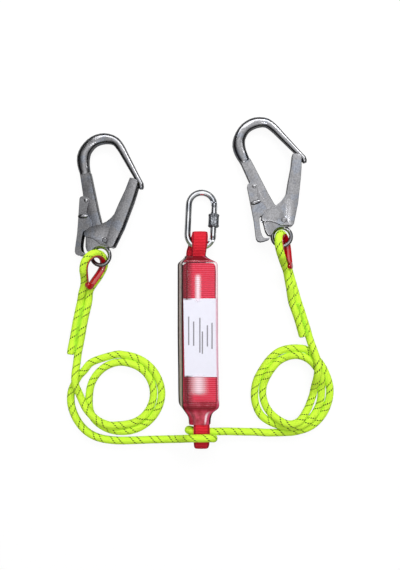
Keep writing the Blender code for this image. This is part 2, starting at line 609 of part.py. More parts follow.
def make_serpentine(low, high):
    """The folded tear webbing: one strip that doubles back on itself from the floor to the lid."""
    bend = TEAR_PITCH / 2
    half = TEAR_THICK / 2
    path = []
    for layer in range(TEAR_LAYERS):
        middle = TEAR_BOTTOM + half + layer * TEAR_PITCH
        forward = layer % 2 == 0
        start, end = (low, high) if forward else (high, low)
        sign = 1.0 if forward else -1.0
        reach = bend + half
        if layer == 0:
            path.append((start, middle))
        path.append((end - sign * reach, middle))
        if layer < TEAR_LAYERS - 1:
            for angle in (-60, -30, 0, 30, 60):
                swing = math.radians(angle)
                path.append((end - sign * reach + sign * bend * math.cos(swing), middle + bend + bend * math.sin(swing)))
            path.append((end - sign * reach, middle + TEAR_PITCH))
    spine = np.array(path)
    forward = np.diff(spine, axis=0)
    forward /= np.linalg.norm(forward, axis=1)[:, None]
    normals = []
    for index in range(len(spine)):
        first = forward[max(0, index - 1)]
        second = forward[min(len(forward) - 1, index)]
        both = np.array((-first[1], first[0])) + np.array((-second[1], second[0]))
        normals.append(both / max(0.6, np.dot(both, both) / 2))
    normals = np.array(normals)
    left = spine + normals * half
    right = spine - normals * half
    half_width = PACK_HALF_WIDTH - FILM - 0.7
    rings = []
    for one, two in zip(left, right):
        ring = []
        for (along, height), edge in ((one, -1), (one, 1), (two, 1), (two, -1)):
            ring.append((leaning(PACK_MIDDLE_X + edge * half_width, height), along, height))
        rings.append(np.array(ring))
    solid("tear_webbing", loft(rings), RED_WEB, LAY)


def make_loop(name, route, width):
    """A sewn loop of flat webbing: route holds (across, along, height) of the strip's middle."""
    knots = smooth_route(route, 7.0)
    steps = np.gradient(knots, axis=0)
    steps[:, 0] = 0
    steps /= np.linalg.norm(steps, axis=1)[:, None]
    rings = []
    for point, step in zip(knots, steps):
        up = np.array((0.0, -step[2], step[1])) * LOOP_THICK / 2
        edge = np.array((width / 2, 0.0, 0.0))
        rings.append(np.array([point - edge - up, point + edge - up, point + edge + up, point - edge + up]))
    solid(name, loft(rings), RED_WEB, LAY)


for each in ("left", "right"):
    make_hook(each)
    make_thimble(each)
make_carabiner()
make_absorber()

TOP_LOOP = [
    (3.0, 28.6, 14.8), (5.0, 46.0, 11.5), (6.0, 55.0, 10.2), (7.8, 62.0, 10.0), (9.5, 69.0, 8.6), (12.0, 76.0, 8.0),
    (14.0, 82.2, 11.0), (14.8, 85.7, 17.0), (15.2, 82.2, 23.8), (15.2, 76.0, 28.0), (14.9, 66.0, 29.4),
    (14.4, 56.0, 28.8), (13.6, 46.0, 24.4), (13.0, 28.6, 19.5),
]
BOTTOM_LOOP = [
    (17.8, -201.6, 16.2), (17.8, -212.0, 15.4), (17.8, -228.0, 14.0), (17.8, -240.0, 14.5), (17.8, -255.0, 14.7),
    (17.8, -265.0, 16.0), (17.8, -268.5, 19.5), (17.8, -265.0, 23.0), (17.8, -258.0, 25.2), (17.8, -248.0, 28.5),
    (17.8, -238.6, 30.9), (17.8, -228.0, 29.6), (17.8, -212.0, 25.0), (17.8, -201.6, 22.7),
]
make_loop("top_loop", TOP_LOOP, 24.5)
make_loop("bottom_loop", BOTTOM_LOOP, 26.0)

LEFT_TAIL = [(-183.2, -26.2, ROPE_FLOOR), (-190.9, -59.5, ROPE_FLOOR), (-196.8, -92.7, ROPE_FLOOR), (-200.0, -115.9, ROPE_FLOOR)]
LEFT_STANDING = [
    (-170.3, -26.2, ROPE_FLOOR), (-178.0, -59.5, ROPE_FLOOR), (-183.6, -92.7, ROPE_FLOOR), (-187.0, -112.5, 7.4),
    (-188.0, -125.2, 11.4), (-187.8, -137.6, 16.4), (-187.6, -147.0, 18.2), (-187.6, -156.0, 18.4),
]
RIGHT_TAIL = [(167.5, -26.2, 11.8), (172.4, -42.8, 11.8), (177.4, -59.5, 11.8), (182.0, -76.1, 11.8), (184.9, -87.0, 11.8)]
RIGHT_STANDING = [
    (179.3, -26.2, ROPE_FLOOR), (184.3, -42.8, ROPE_FLOOR), (189.2, -59.5, ROPE_FLOOR), (194.2, -76.1, ROPE_FLOOR),
    (198.6, -92.7, ROPE_FLOOR), (200.3, -100.0, ROPE_FLOOR), (201.3, -107.6, ROPE_FLOOR),
]
LEFT_LOWER = [
    (-184.3, -151.4, ROPE_FLOOR), (-191.0, -162.6, ROPE_FLOOR), (-197.4, -174.1, ROPE_FLOOR), (-199.4, -185.7, ROPE_FLOOR),
    (-198.6, -200.6, ROPE_FLOOR), (-193.3, -217.2, ROPE_FLOOR), (-183.3, -233.9, ROPE_FLOOR), (-169.2, -248.0, ROPE_FLOOR),
    (-149.3, -256.8, ROPE_FLOOR), (-126.0, -259.4, ROPE_FLOOR), (-101.1, -259.4, ROPE_FLOOR), (-67.9, -258.1, ROPE_FLOOR),
    (-51.5, -257.0, 6.4),
]
HITCH = [
    (-50.5, -256.9, 6.5), (-40.0, -256.3, 7.8), (-24.0, -254.3, 13.5), (-12.0, -251.3, 23.5), (-3.5, -248.4, 33.0),
    (4.0, -247.3, 37.2), (17.5, -247.1, 37.5), (31.0, -247.6, 37.2), (37.0, -249.3, 33.8), (38.7, -251.6, 27.2),
    (38.4, -253.2, 19.0), (37.9, -254.3, 12.5), (34.0, -254.6, 7.4), (28.0, -253.4, 6.1), (20.0, -250.6, 6.1),
    (10.0, -246.0, 6.1), (2.0, -241.9, 6.3), (-3.2, -240.0, 9.8), (-4.9, -239.6, 15.0), (-1.2, -239.6, 20.0),
    (5.5, -239.6, 22.1), (17.5, -239.9, 22.4), (30.0, -240.3, 22.5), (36.0, -240.6, 21.6), (42.0, -241.0, 18.9),
    (58.0, -242.8, 11.0), (70.0, -244.2, 7.5),
]
RIGHT_LOWER = [(71.8, -244.4, 7.3), (89.9, -245.5, ROPE_FLOOR), (111.5, -246.8, ROPE_FLOOR), (128.1, -248.8, ROPE_FLOOR), (140.0, -251.3, ROPE_FLOOR)]

make_rope("left", LEFT_TAIL, LEFT_STANDING)
make_rope("right", RIGHT_TAIL, RIGHT_STANDING)
cord("left_lower_run", smooth_route(LEFT_LOWER, 18.0), ROPE_LOOK)
cord("right_lower_run", smooth_route(RIGHT_LOWER, 18.0), ROPE_LOOK)
cord("rope_hitch", smooth_route(HITCH, 9.0), ROPE_LOOK)
make_coil("left_rope_coil", (-113.2, -180.2), (70.5, 70.5), (-113.2, -180.2), (45.0, 45.0))
make_coil("right_rope_coil", (166.2, -176.2), (68.5, 74.3), (159.6, -173.7), (37.0, 48.5))
LEFT_SEAM = [(-176.8, -28.0, 11.5), (-184.5, -59.5, 11.2), (-190.2, -92.7, 11.2), (-193.0, -110.0, 11.2)]
RIGHT_SEAM = [(175.6, -26.8, 13.1), (180.5, -42.8, 13.1), (185.5, -59.5, 13.1), (190.0, -76.1, 13.1)]
make_stitching("left", LEFT_SEAM, 2.4, 0.0)
make_stitching("right", RIGHT_SEAM, 2.2, 26.0)
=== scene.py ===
# %% [markdown]
# # A twin shock-absorbing lanyard, seen from above
# The lanyard joins a climber's harness to two scaffold hooks, and a folded strip of webbing in its
# middle tears open to soften a fall. It lies on a white floor here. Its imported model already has
# every solid piece in its place, so this script gives those pieces their look, draws the soft ones
# again in finer detail, and sets up the light and the overhead camera. Lengths are in millimetres
# from a point on the floor near the lanyard's middle, because they are easier to read than metres.
# MM and SHIFT turn them into the frame's metres.

import math

import bpy
import numpy as np
from mathutils import Euler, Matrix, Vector


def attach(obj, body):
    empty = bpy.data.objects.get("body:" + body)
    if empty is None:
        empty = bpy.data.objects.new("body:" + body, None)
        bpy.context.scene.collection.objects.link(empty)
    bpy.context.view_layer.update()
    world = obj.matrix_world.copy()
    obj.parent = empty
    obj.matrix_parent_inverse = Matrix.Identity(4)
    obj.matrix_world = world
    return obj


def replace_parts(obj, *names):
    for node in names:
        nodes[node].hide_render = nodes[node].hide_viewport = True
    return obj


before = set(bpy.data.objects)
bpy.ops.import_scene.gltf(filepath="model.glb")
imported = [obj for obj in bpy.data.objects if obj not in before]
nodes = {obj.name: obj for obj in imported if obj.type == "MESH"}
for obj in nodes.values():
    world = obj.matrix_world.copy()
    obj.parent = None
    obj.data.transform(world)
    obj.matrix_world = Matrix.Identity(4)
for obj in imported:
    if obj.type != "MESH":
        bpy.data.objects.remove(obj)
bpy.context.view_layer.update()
scene = bpy.context.scene

MM = 0.001
SHIFT = np.array((1.76, -3.17, 0.0))
ROPE_RADIUS = 6.0
ROPE_FLOOR = 6.1
ROOT = "lanyard"

# %% [markdown]
# The picture was taken from straight above, so the camera looks straight down. A camera without
# perspective would be simpler, but then the far sides of tall pieces would be hidden, and the pack's
# left flank is plainly seen. So a real lens hangs 0.9 m above the floor, where one pixel is 1.65 mm
# wide at the height of the carabiner's bar.

# %% Camera
CAMERA_HEIGHT = 900.0
CAMERA_PLACE = (15.18, -1.32)
SENSOR_WIDTH = 36.0
LENS = 48.44


def world_place(point):
    """A drawn point in the frame's metres."""
    return Vector((np.array(point, float) + SHIFT) * MM)


camera = bpy.data.objects.new("overhead_camera", bpy.data.cameras.new("overhead_camera"))
scene.collection.objects.link(camera)
camera.data.sensor_fit = "HORIZONTAL"
camera.data.sensor_width = SENSOR_WIDTH
camera.data.lens = LENS
camera.data.clip_start = 0.05
camera.location = world_place((*CAMERA_PLACE, CAMERA_HEIGHT))
scene.camera = camera
print("camera at", [round(value, 4) for value in camera.location])

# %% [markdown]
# Materials are made of small shader node groups. Nodes can be added one by one by hand, but a
# material then takes dozens of lines. These helpers each add one node or a few, and feed a socket
# with either another socket or a plain value, so an effect reads like a formula.


# %% Node helpers
def node(tree, kind, **settings):
    """A new node of this kind, with its settings."""
    made = tree.nodes.new(kind)
    for name, value in settings.items():
        setattr(made, name, value)
    return made


def feed(tree, socket, value):
    """Gives the socket a link from another socket, or a plain value."""
    if isinstance(value, bpy.types.NodeSocket):
        tree.links.new(value, socket)
    else:
        socket.default_value = value


def maths(tree, operation, *values):
    """The result of one operation on the values."""
    made = node(tree, "ShaderNodeMath", operation=operation)
    for socket, value in zip(made.inputs, values):
        feed(tree, socket, value)
    return made.outputs[0]


def chained(tree, operation, first, *others):
    """The same operation on one value after the other."""
    for other in others:
        first = maths(tree, operation, first, other)
    return first


def ramp(tree, value, low, high, to_low=0.0, to_high=1.0):
    """A smooth way from to_low, where the value is low, to to_high, where it is high."""
    made = node(tree, "ShaderNodeMapRange", interpolation_type="SMOOTHSTEP")
    feed(tree, made.inputs["Value"], value)
    for socket, number in zip(made.inputs[1:5], (low, high, to_low, to_high)):
        socket.default_value = number
    return made.outputs["Result"]


def band(tree, value, low, high, soft):
    """1 where the value lies between low and high, with soft shoulders."""
    rise = ramp(tree, value, low - soft, low + soft)
    fall = ramp(tree, value, high + soft, high - soft)
    return maths(tree, "MULTIPLY", rise, fall)


print("number helpers are ready")

# %% [markdown]
# Colours and places are made of three numbers, so they need helpers of their own. Places come from
# two sources. The piece's own place in metres suits a speckle that is the same all over. The piece's
# map suits what follows its shape, such as ribs across webbing or yarns round a rope.


# %% Colour and place helpers
def mixed(tree, share, first, second):
    """A colour between the first and the second."""
    made = node(tree, "ShaderNodeMix", data_type="RGBA")
    feed(tree, made.inputs["Factor"], share)
    for socket, colour in (("A", first), ("B", second)):
        plain = not isinstance(colour, bpy.types.NodeSocket)
        feed(tree, made.inputs[socket], (*colour, 1.0) if plain else colour)
    return made.outputs["Result"]


def scaled(tree, colour, share):
    """A colour made darker or lighter by a share."""
    made = node(tree, "ShaderNodeVectorMath", operation="SCALE")
    feed(tree, made.inputs[0], colour)
    feed(tree, made.inputs["Scale"], share)
    return made.outputs[0]


def noise(tree, place, scale, detail=2.0):
    """Soft random patches: the greater the scale, the smaller they are."""
    made = node(tree, "ShaderNodeTexNoise")
    feed(tree, made.inputs["Vector"], place)
    feed(tree, made.inputs["Scale"], scale)
    made.inputs["Detail"].default_value = detail
    return made.outputs["Fac"]


def axes(tree, source):
    """The three parts of a place or a direction."""
    made = node(tree, "ShaderNodeSeparateXYZ")
    feed(tree, made.inputs[0], source)
    return made.outputs


def place_on(tree):
    """Where the point lies on the piece, in metres."""
    return node(tree, "ShaderNodeTexCoord").outputs["Object"]


def sheet_on(tree):
    """The two numbers of the piece's map, such as how far along it and how far round it."""
    parts = axes(tree, node(tree, "ShaderNodeTexCoord").outputs["UV"])
    return parts["X"], parts["Y"]


print("colour and place helpers are ready")

# %% [markdown]
# A shader node group is an effect with named inputs and outputs, which several materials can share
# with their own values. A material then holds one Principled BSDF and one group that feeds it. An
# output named Height goes through a Bump node, because relief that is finer than the mesh is cheaper
# there than in the mesh.

# %% Groups and materials
COLOUR_OUTPUTS = ("Color", "Glow")
# Where each output of a group goes on the Principled BSDF.
SHADER_SOCKETS = {
    "Color": "Base Color",
    "Roughness": "Roughness",
    "Alpha": "Alpha",
    "Glow": "Emission Color",
    "Coat": "Coat Weight",
}


def start_group(name, inputs, outputs):
    """A new group, what is given to it and where its results go."""
    group = bpy.data.node_groups.new(name, "ShaderNodeTree")
    for label, value in inputs.items():
        kind = "NodeSocketColor" if np.ndim(value) else "NodeSocketFloat"
        socket = group.interface.new_socket(label, in_out="INPUT", socket_type=kind)
        socket.default_value = (*value, 1.0) if np.ndim(value) else value
    for label in outputs:
        kind = "NodeSocketColor" if label in COLOUR_OUTPUTS else "NodeSocketFloat"
        group.interface.new_socket(label, in_out="OUTPUT", socket_type=kind)
    return group, node(group, "NodeGroupInput").outputs, node(group, "NodeGroupOutput").inputs


def material(name, group, values, fixed, relief_depth):
    """A Principled BSDF that a group feeds: values go to the group and fixed ones to the shader.
    The relief's depth is in millimetres."""
    made = bpy.data.materials.new(name)
    made.use_nodes = True
    tree = made.node_tree
    shader = tree.nodes["Principled BSDF"]
    effect = node(tree, "ShaderNodeGroup", node_tree=group)
    for label, value in values.items():
        effect.inputs[label].default_value = (*value, 1.0) if np.ndim(value) else value
    for label, value in fixed.items():
        shader.inputs[label].default_value = value
    for output in effect.outputs:
        if output.name == "Height":
            relief = node(tree, "ShaderNodeBump")
            relief.inputs["Distance"].default_value = relief_depth * MM
            tree.links.new(output, relief.inputs["Height"])
            tree.links.new(relief.outputs["Normal"], shader.inputs["Normal"])
        else:
            tree.links.new(output, shader.inputs[SHADER_SOCKETS[output.name]])
    return made


def from_photo(red, green, blue):
    """A colour read off a screen, from 0 to 255, as a linear one."""
    share = np.array((red, green, blue)) / 255.0
    return tuple(np.where(share <= 0.04045, share / 12.92, ((share + 0.055) / 1.055) ** 2.4))


print("materials can be made")

# %% [markdown]
# Bright steel looks like what it mirrors, so its look is made by the room. An even white room would
# make it flat and white. The room here is bright in a cone overhead and dark round it, which draws
# the dark sides and edges of the bars, and three fades make it dimmer on the left and on the right
# and brighter beyond the upper edge of the picture. The camera itself sees the room as plain white.

# %% Room
ROOM_TOP = 1.66
ROOM_SIDE = 0.08
ROOM_CONE = (0.56, 0.93)
# Each fade: the axis, the two ends of the fade along it, and the brightness at each of them.
ROOM_FADES = [("X", -0.62, -0.04, 0.28, 1.0), ("X", 0.04, 0.30, 1.0, 0.72), ("Y", 0.22, 0.60, 0.98, 1.35)]
WHITE = (1.0, 1.0, 1.0, 1.0)

world = bpy.data.worlds.new("white_room")
scene.world = world
world.use_nodes = True
sky = world.node_tree
toward = axes(sky, node(sky, "ShaderNodeTexCoord").outputs["Generated"])
overhead = ramp(sky, toward["Z"], *ROOM_CONE, ROOM_SIDE, ROOM_TOP)
for axis, *fade in ROOM_FADES:
    overhead = maths(sky, "MULTIPLY", overhead, ramp(sky, toward[axis], *fade))


def seen_directly(tree):
    """1 for what the camera sees straight or through glass, and 0 for what lights or is mirrored."""
    rays = node(tree, "ShaderNodeLightPath").outputs
    return maths(tree, "MAXIMUM", rays["Is Camera Ray"], rays["Is Transmission Ray"])


background = sky.nodes["Background"]
sky.links.new(maths(sky, "MAXIMUM", overhead, seen_directly(sky)), background.inputs["Strength"])
background.inputs["Color"].default_value = WHITE
print("room with", len(ROOM_FADES), "fades")

# %% [markdown]
# Two windows shine from beyond the upper edge of the picture and make the bright streaks on the
# bows. A long narrow strip light over the pack makes a gloss on its film, and painted highlight
# streaks in the film's colour add to it. All three are area lights, because a point or a sun would
# give small hard highlights.

# %% Lights
# Each light: its place, what it points at, its two sides in millimetres and its power in watts.
LIGHTS = {
    "strip_light": ((13.0, -300.0, 2400.0), (13.0, -300.1, 0.0), (34.0, 710.0), 5.5),
    "right_window": ((1000.0, 1300.0, 1250.0), (0.0, 0.0, 0.0), (500.0, 800.0), 11.0),
    "upper_window": ((0.0, 1500.0, 1250.0), (0.0, 0.0, 0.0), (2000.0, 600.0), 22.0),
}


def area_light(name, place, aim, size, power):
    lamp = bpy.data.lights.new(name, "AREA")
    lamp.shape = "RECTANGLE"
    lamp.size, lamp.size_y = (side * MM for side in size)
    lamp.energy = power
    made = bpy.data.objects.new(name, lamp)
    scene.collection.objects.link(made)
    made.location = world_place(place)
    direction = world_place(aim) - made.location
    made.rotation_euler = direction.to_track_quat("-Z", "Y").to_euler()


for name, settings in LIGHTS.items():
    area_light(name, *settings)
print("lights:", ", ".join(LIGHTS))

# %% [markdown]
# The floor in the picture is so white that only a faint shadow is left on it. More light would burn
# out the rope and the label. So the floor is a middle grey that gives off some white of its own, and
# only the camera sees that white in full. What steel mirrors of the floor stays dark.

# %% Floor
FLOOR_HALF = 4.0
FLOOR_COLOUR = 0.34
FLOOR_GLOW = 1.265
FLOOR_GLOW_SHARE = 0.72
FLOOR_GLOSSY_SHARE = 0.05


def make_floor():
    mesh = bpy.data.meshes.new("floor")
    signs = ((-1, -1), (1, -1), (1, 1), (-1, 1))
    mesh.from_pydata([(x * FLOOR_HALF, y * FLOOR_HALF, 0.0) for x, y in signs], [], [(0, 1, 2, 3)])
    floor = bpy.data.objects.new("floor", mesh)
    scene.collection.objects.link(floor)
    look = bpy.data.materials.new("floor")
    look.use_nodes = True
    tree = look.node_tree
    tree.nodes.remove(tree.nodes["Principled BSDF"])
    board = node(tree, "ShaderNodeBsdfDiffuse")
    board.inputs["Color"].default_value = (FLOOR_COLOUR, FLOOR_COLOUR, FLOOR_COLOUR, 1.0)
    glow = node(tree, "ShaderNodeEmission")
    glow.inputs["Strength"].default_value = FLOOR_GLOW
    mirrored = node(tree, "ShaderNodeLightPath").outputs["Is Glossy Ray"]
    share = maths(tree, "MULTIPLY", seen_directly(tree), FLOOR_GLOW_SHARE)
    share = maths(tree, "MULTIPLY_ADD", mirrored, FLOOR_GLOSSY_SHARE, share)
    both = node(tree, "ShaderNodeMixShader")
    feed(tree, both.inputs["Fac"], share)
    feed(tree, both.inputs[1], board.outputs[0])
    feed(tree, both.inputs[2], glow.outputs[0])
    feed(tree, tree.nodes["Material Output"].inputs["Surface"], both.outputs[0])
    mesh.materials.append(look)


make_floor()
scene.view_settings.view_transform = "Standard"
print("floor of", 2 * FLOOR_HALF, "m")

# %% [markdown]
# The steel is forged, tumbled and plated. One flat grey would look like plastic. So soft patches
# change its tint and polish over a centimetre or two, and a fine grain of noise dents it.

# %% The steel effect
PATCH_SPAN = (0.3, 0.7)
STEEL_PATCHES = 60.0
STEEL_SHADE = (0.26, 0.29, 0.35)


def steel_effect():
    first_values = {"Steel": (0.4, 0.4, 0.41), "Polish": 0.3, "Mottle": 0.16, "Grain": 420.0}
    group, given, result = start_group("Plated steel", first_values, ("Color", "Roughness", "Height"))
    place = place_on(group)
    patches = noise(group, place, STEEL_PATCHES, 3.0)
    grain = noise(group, place, given["Grain"], 3.0)
    speckle = maths(group, "MULTIPLY", ramp(group, grain, 0.32, 0.68, -1.0, 1.0), given["Mottle"])
    level = maths(group, "ADD", ramp(group, patches, *PATCH_SPAN, 0.86, 1.06), speckle)
    shaded = mixed(group, ramp(group, patches, 0.5, 0.35, 0.0, 0.5), given["Steel"], STEEL_SHADE)
    feed(group, result["Color"], scaled(group, shaded, level))
    spread = ramp(group, patches, *PATCH_SPAN, -0.04, 0.05)
    feed(group, result["Roughness"], maths(group, "ADD", given["Polish"], spread))
    feed(group, result["Height"], grain)
    return group


STEEL = steel_effect()
print("steel effect with", len(STEEL.nodes), "nodes")

# %% [markdown]
# Webbing is woven with ribs across it and a dark line of binding near each edge. A picture of cloth
# would have one size of rib only. A wave along the webbing gives ribs of any pitch, and a fine noise
# makes them look like yarn.

# %% The webbing effect
RIB_FUZZ = 700.0
BINDING_SPAN = (0.6, 2.6, 0.5)
BINDING_DEPTH = 0.7
BINDING_RED = (0.10, 0.004, 0.01)


def ribs_along(tree, along, pitch):
    """A wave from 0 to 1 that comes back once in each pitch."""
    turn = maths(tree, "MULTIPLY", maths(tree, "DIVIDE", along, pitch), 2 * math.pi)
    return maths(tree, "MULTIPLY_ADD", maths(tree, "SINE", turn), 0.5, 0.5)


def webbing_effect():
    first_values = {"Dye": (0.6, 0.01, 0.03), "Rib": (0.8, 0.08, 0.12), "Pitch": 3.3, "Edge": 13.0}
    group, given, result = start_group("Ribbed webbing", first_values, ("Color", "Height"))
    along, across = sheet_on(group)
    ribs = ribs_along(group, along, given["Pitch"])
    raised = maths(group, "MULTIPLY_ADD", noise(group, place_on(group), RIB_FUZZ), 0.4, ribs)
    # The rib crests are painted lighter than the hollows between them, as light and shade on the ribs.
    ribbed = mixed(group, ramp(group, raised, 0.5, 1.2), given["Dye"], given["Rib"])
    from_edge = maths(group, "SUBTRACT", given["Edge"], maths(group, "ABSOLUTE", across))
    binding = maths(group, "MULTIPLY", band(group, from_edge, *BINDING_SPAN), BINDING_DEPTH)
    feed(group, result["Color"], mixed(group, binding, ribbed, BINDING_RED))
    feed(group, result["Height"], maths(group, "SUBTRACT", raised, binding))
    return group


WEBBING = webbing_effect()
print("webbing effect with", len(WEBBING.nodes), "nodes")

# %% [markdown]
# The rope is braided from bright yarns, and two dark tracer yarns wind round it. They dip under the
# others, so they show as dashes. Yarns drawn one by one would need millions of faces. On the rope's
# map a yarn is a straight slanting line, so the effect draws all of them from how far along the rope
# and how far round it a point lies.

# %% The rope effect
# The tracer yarns: the length of one turn, the space between the two, their width and soft edge,
# how many dashes each turn has, and where a dash starts and ends, as shares, with its soft ends.
TRACER_TURN = 33.0
TRACER_SPACE = 12.0
TRACER_WIDTH = 2.7
TRACER_SOFT = 0.008
TRACER_DASHES = 13.0
DASH_SPAN = (0.10, 0.68, 0.06)
BRAID_TURN = 26.0
BRAID_YARNS = 12.0
# Whole turns that are added first, because a fraction is only taken of a number above 0.
SPARE_TURNS = 20.0


def rope_effect():
    first_values = {"Yarn": (0.57, 1.0, 0.03), "Tracer": (0.03, 0.05, 0.01), "Painted Glow Share": 0.1}
    group, given, result = start_group("Braided rope", first_values, ("Color", "Height", "Glow"))
    along, turn = sheet_on(group)

    def winding(pitch, sign):
        """How far a yarn that winds once in the pitch has turned at this point."""
        turned = maths(group, "MULTIPLY", turn, sign)
        return maths(group, "ADD", turned, maths(group, "DIVIDE", along, pitch))

    lines = []
    half = TRACER_WIDTH / TRACER_TURN / 2
    for offset in (0.0, TRACER_SPACE / TRACER_TURN):
        wound = maths(group, "ADD", winding(TRACER_TURN, 1.0), offset + SPARE_TURNS)
        lines.append(band(group, maths(group, "FRACT", wound), 0.5 - half, 0.5 + half, TRACER_SOFT))
    steps = maths(group, "MULTIPLY", maths(group, "ADD", turn, SPARE_TURNS), TRACER_DASHES)
    dash = band(group, maths(group, "FRACT", steps), *DASH_SPAN)
    tracer = maths(group, "MULTIPLY", maths(group, "MAXIMUM", *lines), dash)

    waves = []
    for sign in (1.0, -1.0):
        angle = maths(group, "MULTIPLY", winding(BRAID_TURN, sign), 2 * math.pi * BRAID_YARNS)
        waves.append(maths(group, "SINE", angle))
    braid = maths(group, "MULTIPLY_ADD", maths(group, "MULTIPLY", *waves), 0.5, 0.5)
    # The braid's hollows are painted a little darker, as shade.
    shaded = scaled(group, given["Yarn"], ramp(group, braid, 0.0, 0.7, 0.88, 1.0))
    colour = mixed(group, tracer, shaded, given["Tracer"])
    feed(group, result["Color"], colour)
    feed(group, result["Height"], braid)
    # The rope gives off a little of its own colour as light, a painted glow that brightens it beyond what
    # the lamps give.
    feed(group, result["Glow"], scaled(group, colour, given["Painted Glow Share"]))
    return group


ROPE = rope_effect()
print("rope effect with", len(ROPE.nodes), "nodes")

# %% [markdown]
# The film is clear, so real glass would be its first choice, but glass over red webbing turns dark
# and grainy. The film here is a colour over the webbing that is more or less see-through. Its flank
# is painted dark brown as shade, with a paler cloudy band along it, its creases are painted black as
# shade, the left edge of its top is painted darker as shade, painted highlight streaks it under the
# strip light, and it is deep red towards the ends, with painted fold shadows where it gathers. Each
# of these is a layer that covers the ones before it.

# %% The film's map
# The film's map: how far along it, and which side. 0 to 1 is the upper right corner, 1 to 2 the upper
# face from right to left, 2 to 3 the upper left corner, 3 to 4 the left flank, and so on round. A
# span is its two ends and how soft they are.
FLANK = (2.75, 5.0, 0.2)
PALE_FLANK = (3.18, 3.68, 0.08)
# Spans round the film painted near black, as the shade in its creases.
SHADED_CREASES = [(3.78, 5.0, 0.04), (2.62, 3.06, 0.06), (0.30, 0.62, 0.12)]
RIM = (0.62, 1.03, 0.03)
SHADED_SIDE = (1.86, 1.95, 0.03)
# Bands along the necks painted dark red, as the shadows of their folds, each as its two ends and how soft it
# is.
NECK_FOLD_SHADOWS = [(-203.0, -196.0, 4.0), (38.0, 50.0, 1.5)]
# Each pair: where the upper end of the pack starts and is full, and the same for the lower end.
NECKS = ((34.5, 37.5), (-184.0, -198.0))
PAST_LABEL = ((-26.0, -24.0), (-146.0, -148.0))
GLOSSY_ENDS = ((36.0, 38.0), (-204.0, -208.0))
# Each painted highlight streak: its middle and half width round the film, its two ends along it, and how
# soft it is.
PAINTED_FILM_STREAKS = [
    (1.57, 0.06, -26.0, 14.0, 0.07), (1.57, 0.13, -176.0, -148.0, 0.22),
    (1.12, 0.05, -224.0, -208.0, 0.06),
]
PAINTED_STREAK_END_SOFT = 5.0
FILM_PATCHES = 150.0
FILM_RIBS = 3.3
GATHERED_LIGHT = (0.56, 0.045, 0.09)
# Painted shade: the fold, shade, flank and crease colours. Painted highlight: the streak white.
FOLD_SHADOW_RED = (0.17, 0.006, 0.012)
SHADE_RED = (0.10, 0.004, 0.008)
RIM_RED = (0.75, 0.10, 0.22)
FLANK_SHADE_BROWN = (0.10, 0.04, 0.04)
CREASE_SHADE_BLACK = (0.010, 0.004, 0.005)
PAINTED_HIGHLIGHT_WHITE = (1.0, 0.84, 0.92)
print("film with", len(SHADED_CREASES), "creases and", len(PAINTED_FILM_STREAKS), "streaks")

# %% [markdown]
# Each layer is a share from 0 to 1 and a colour. With each one the film becomes less see-through, and
# its colour moves towards the layer's by as much as the layer takes part in what is seen.


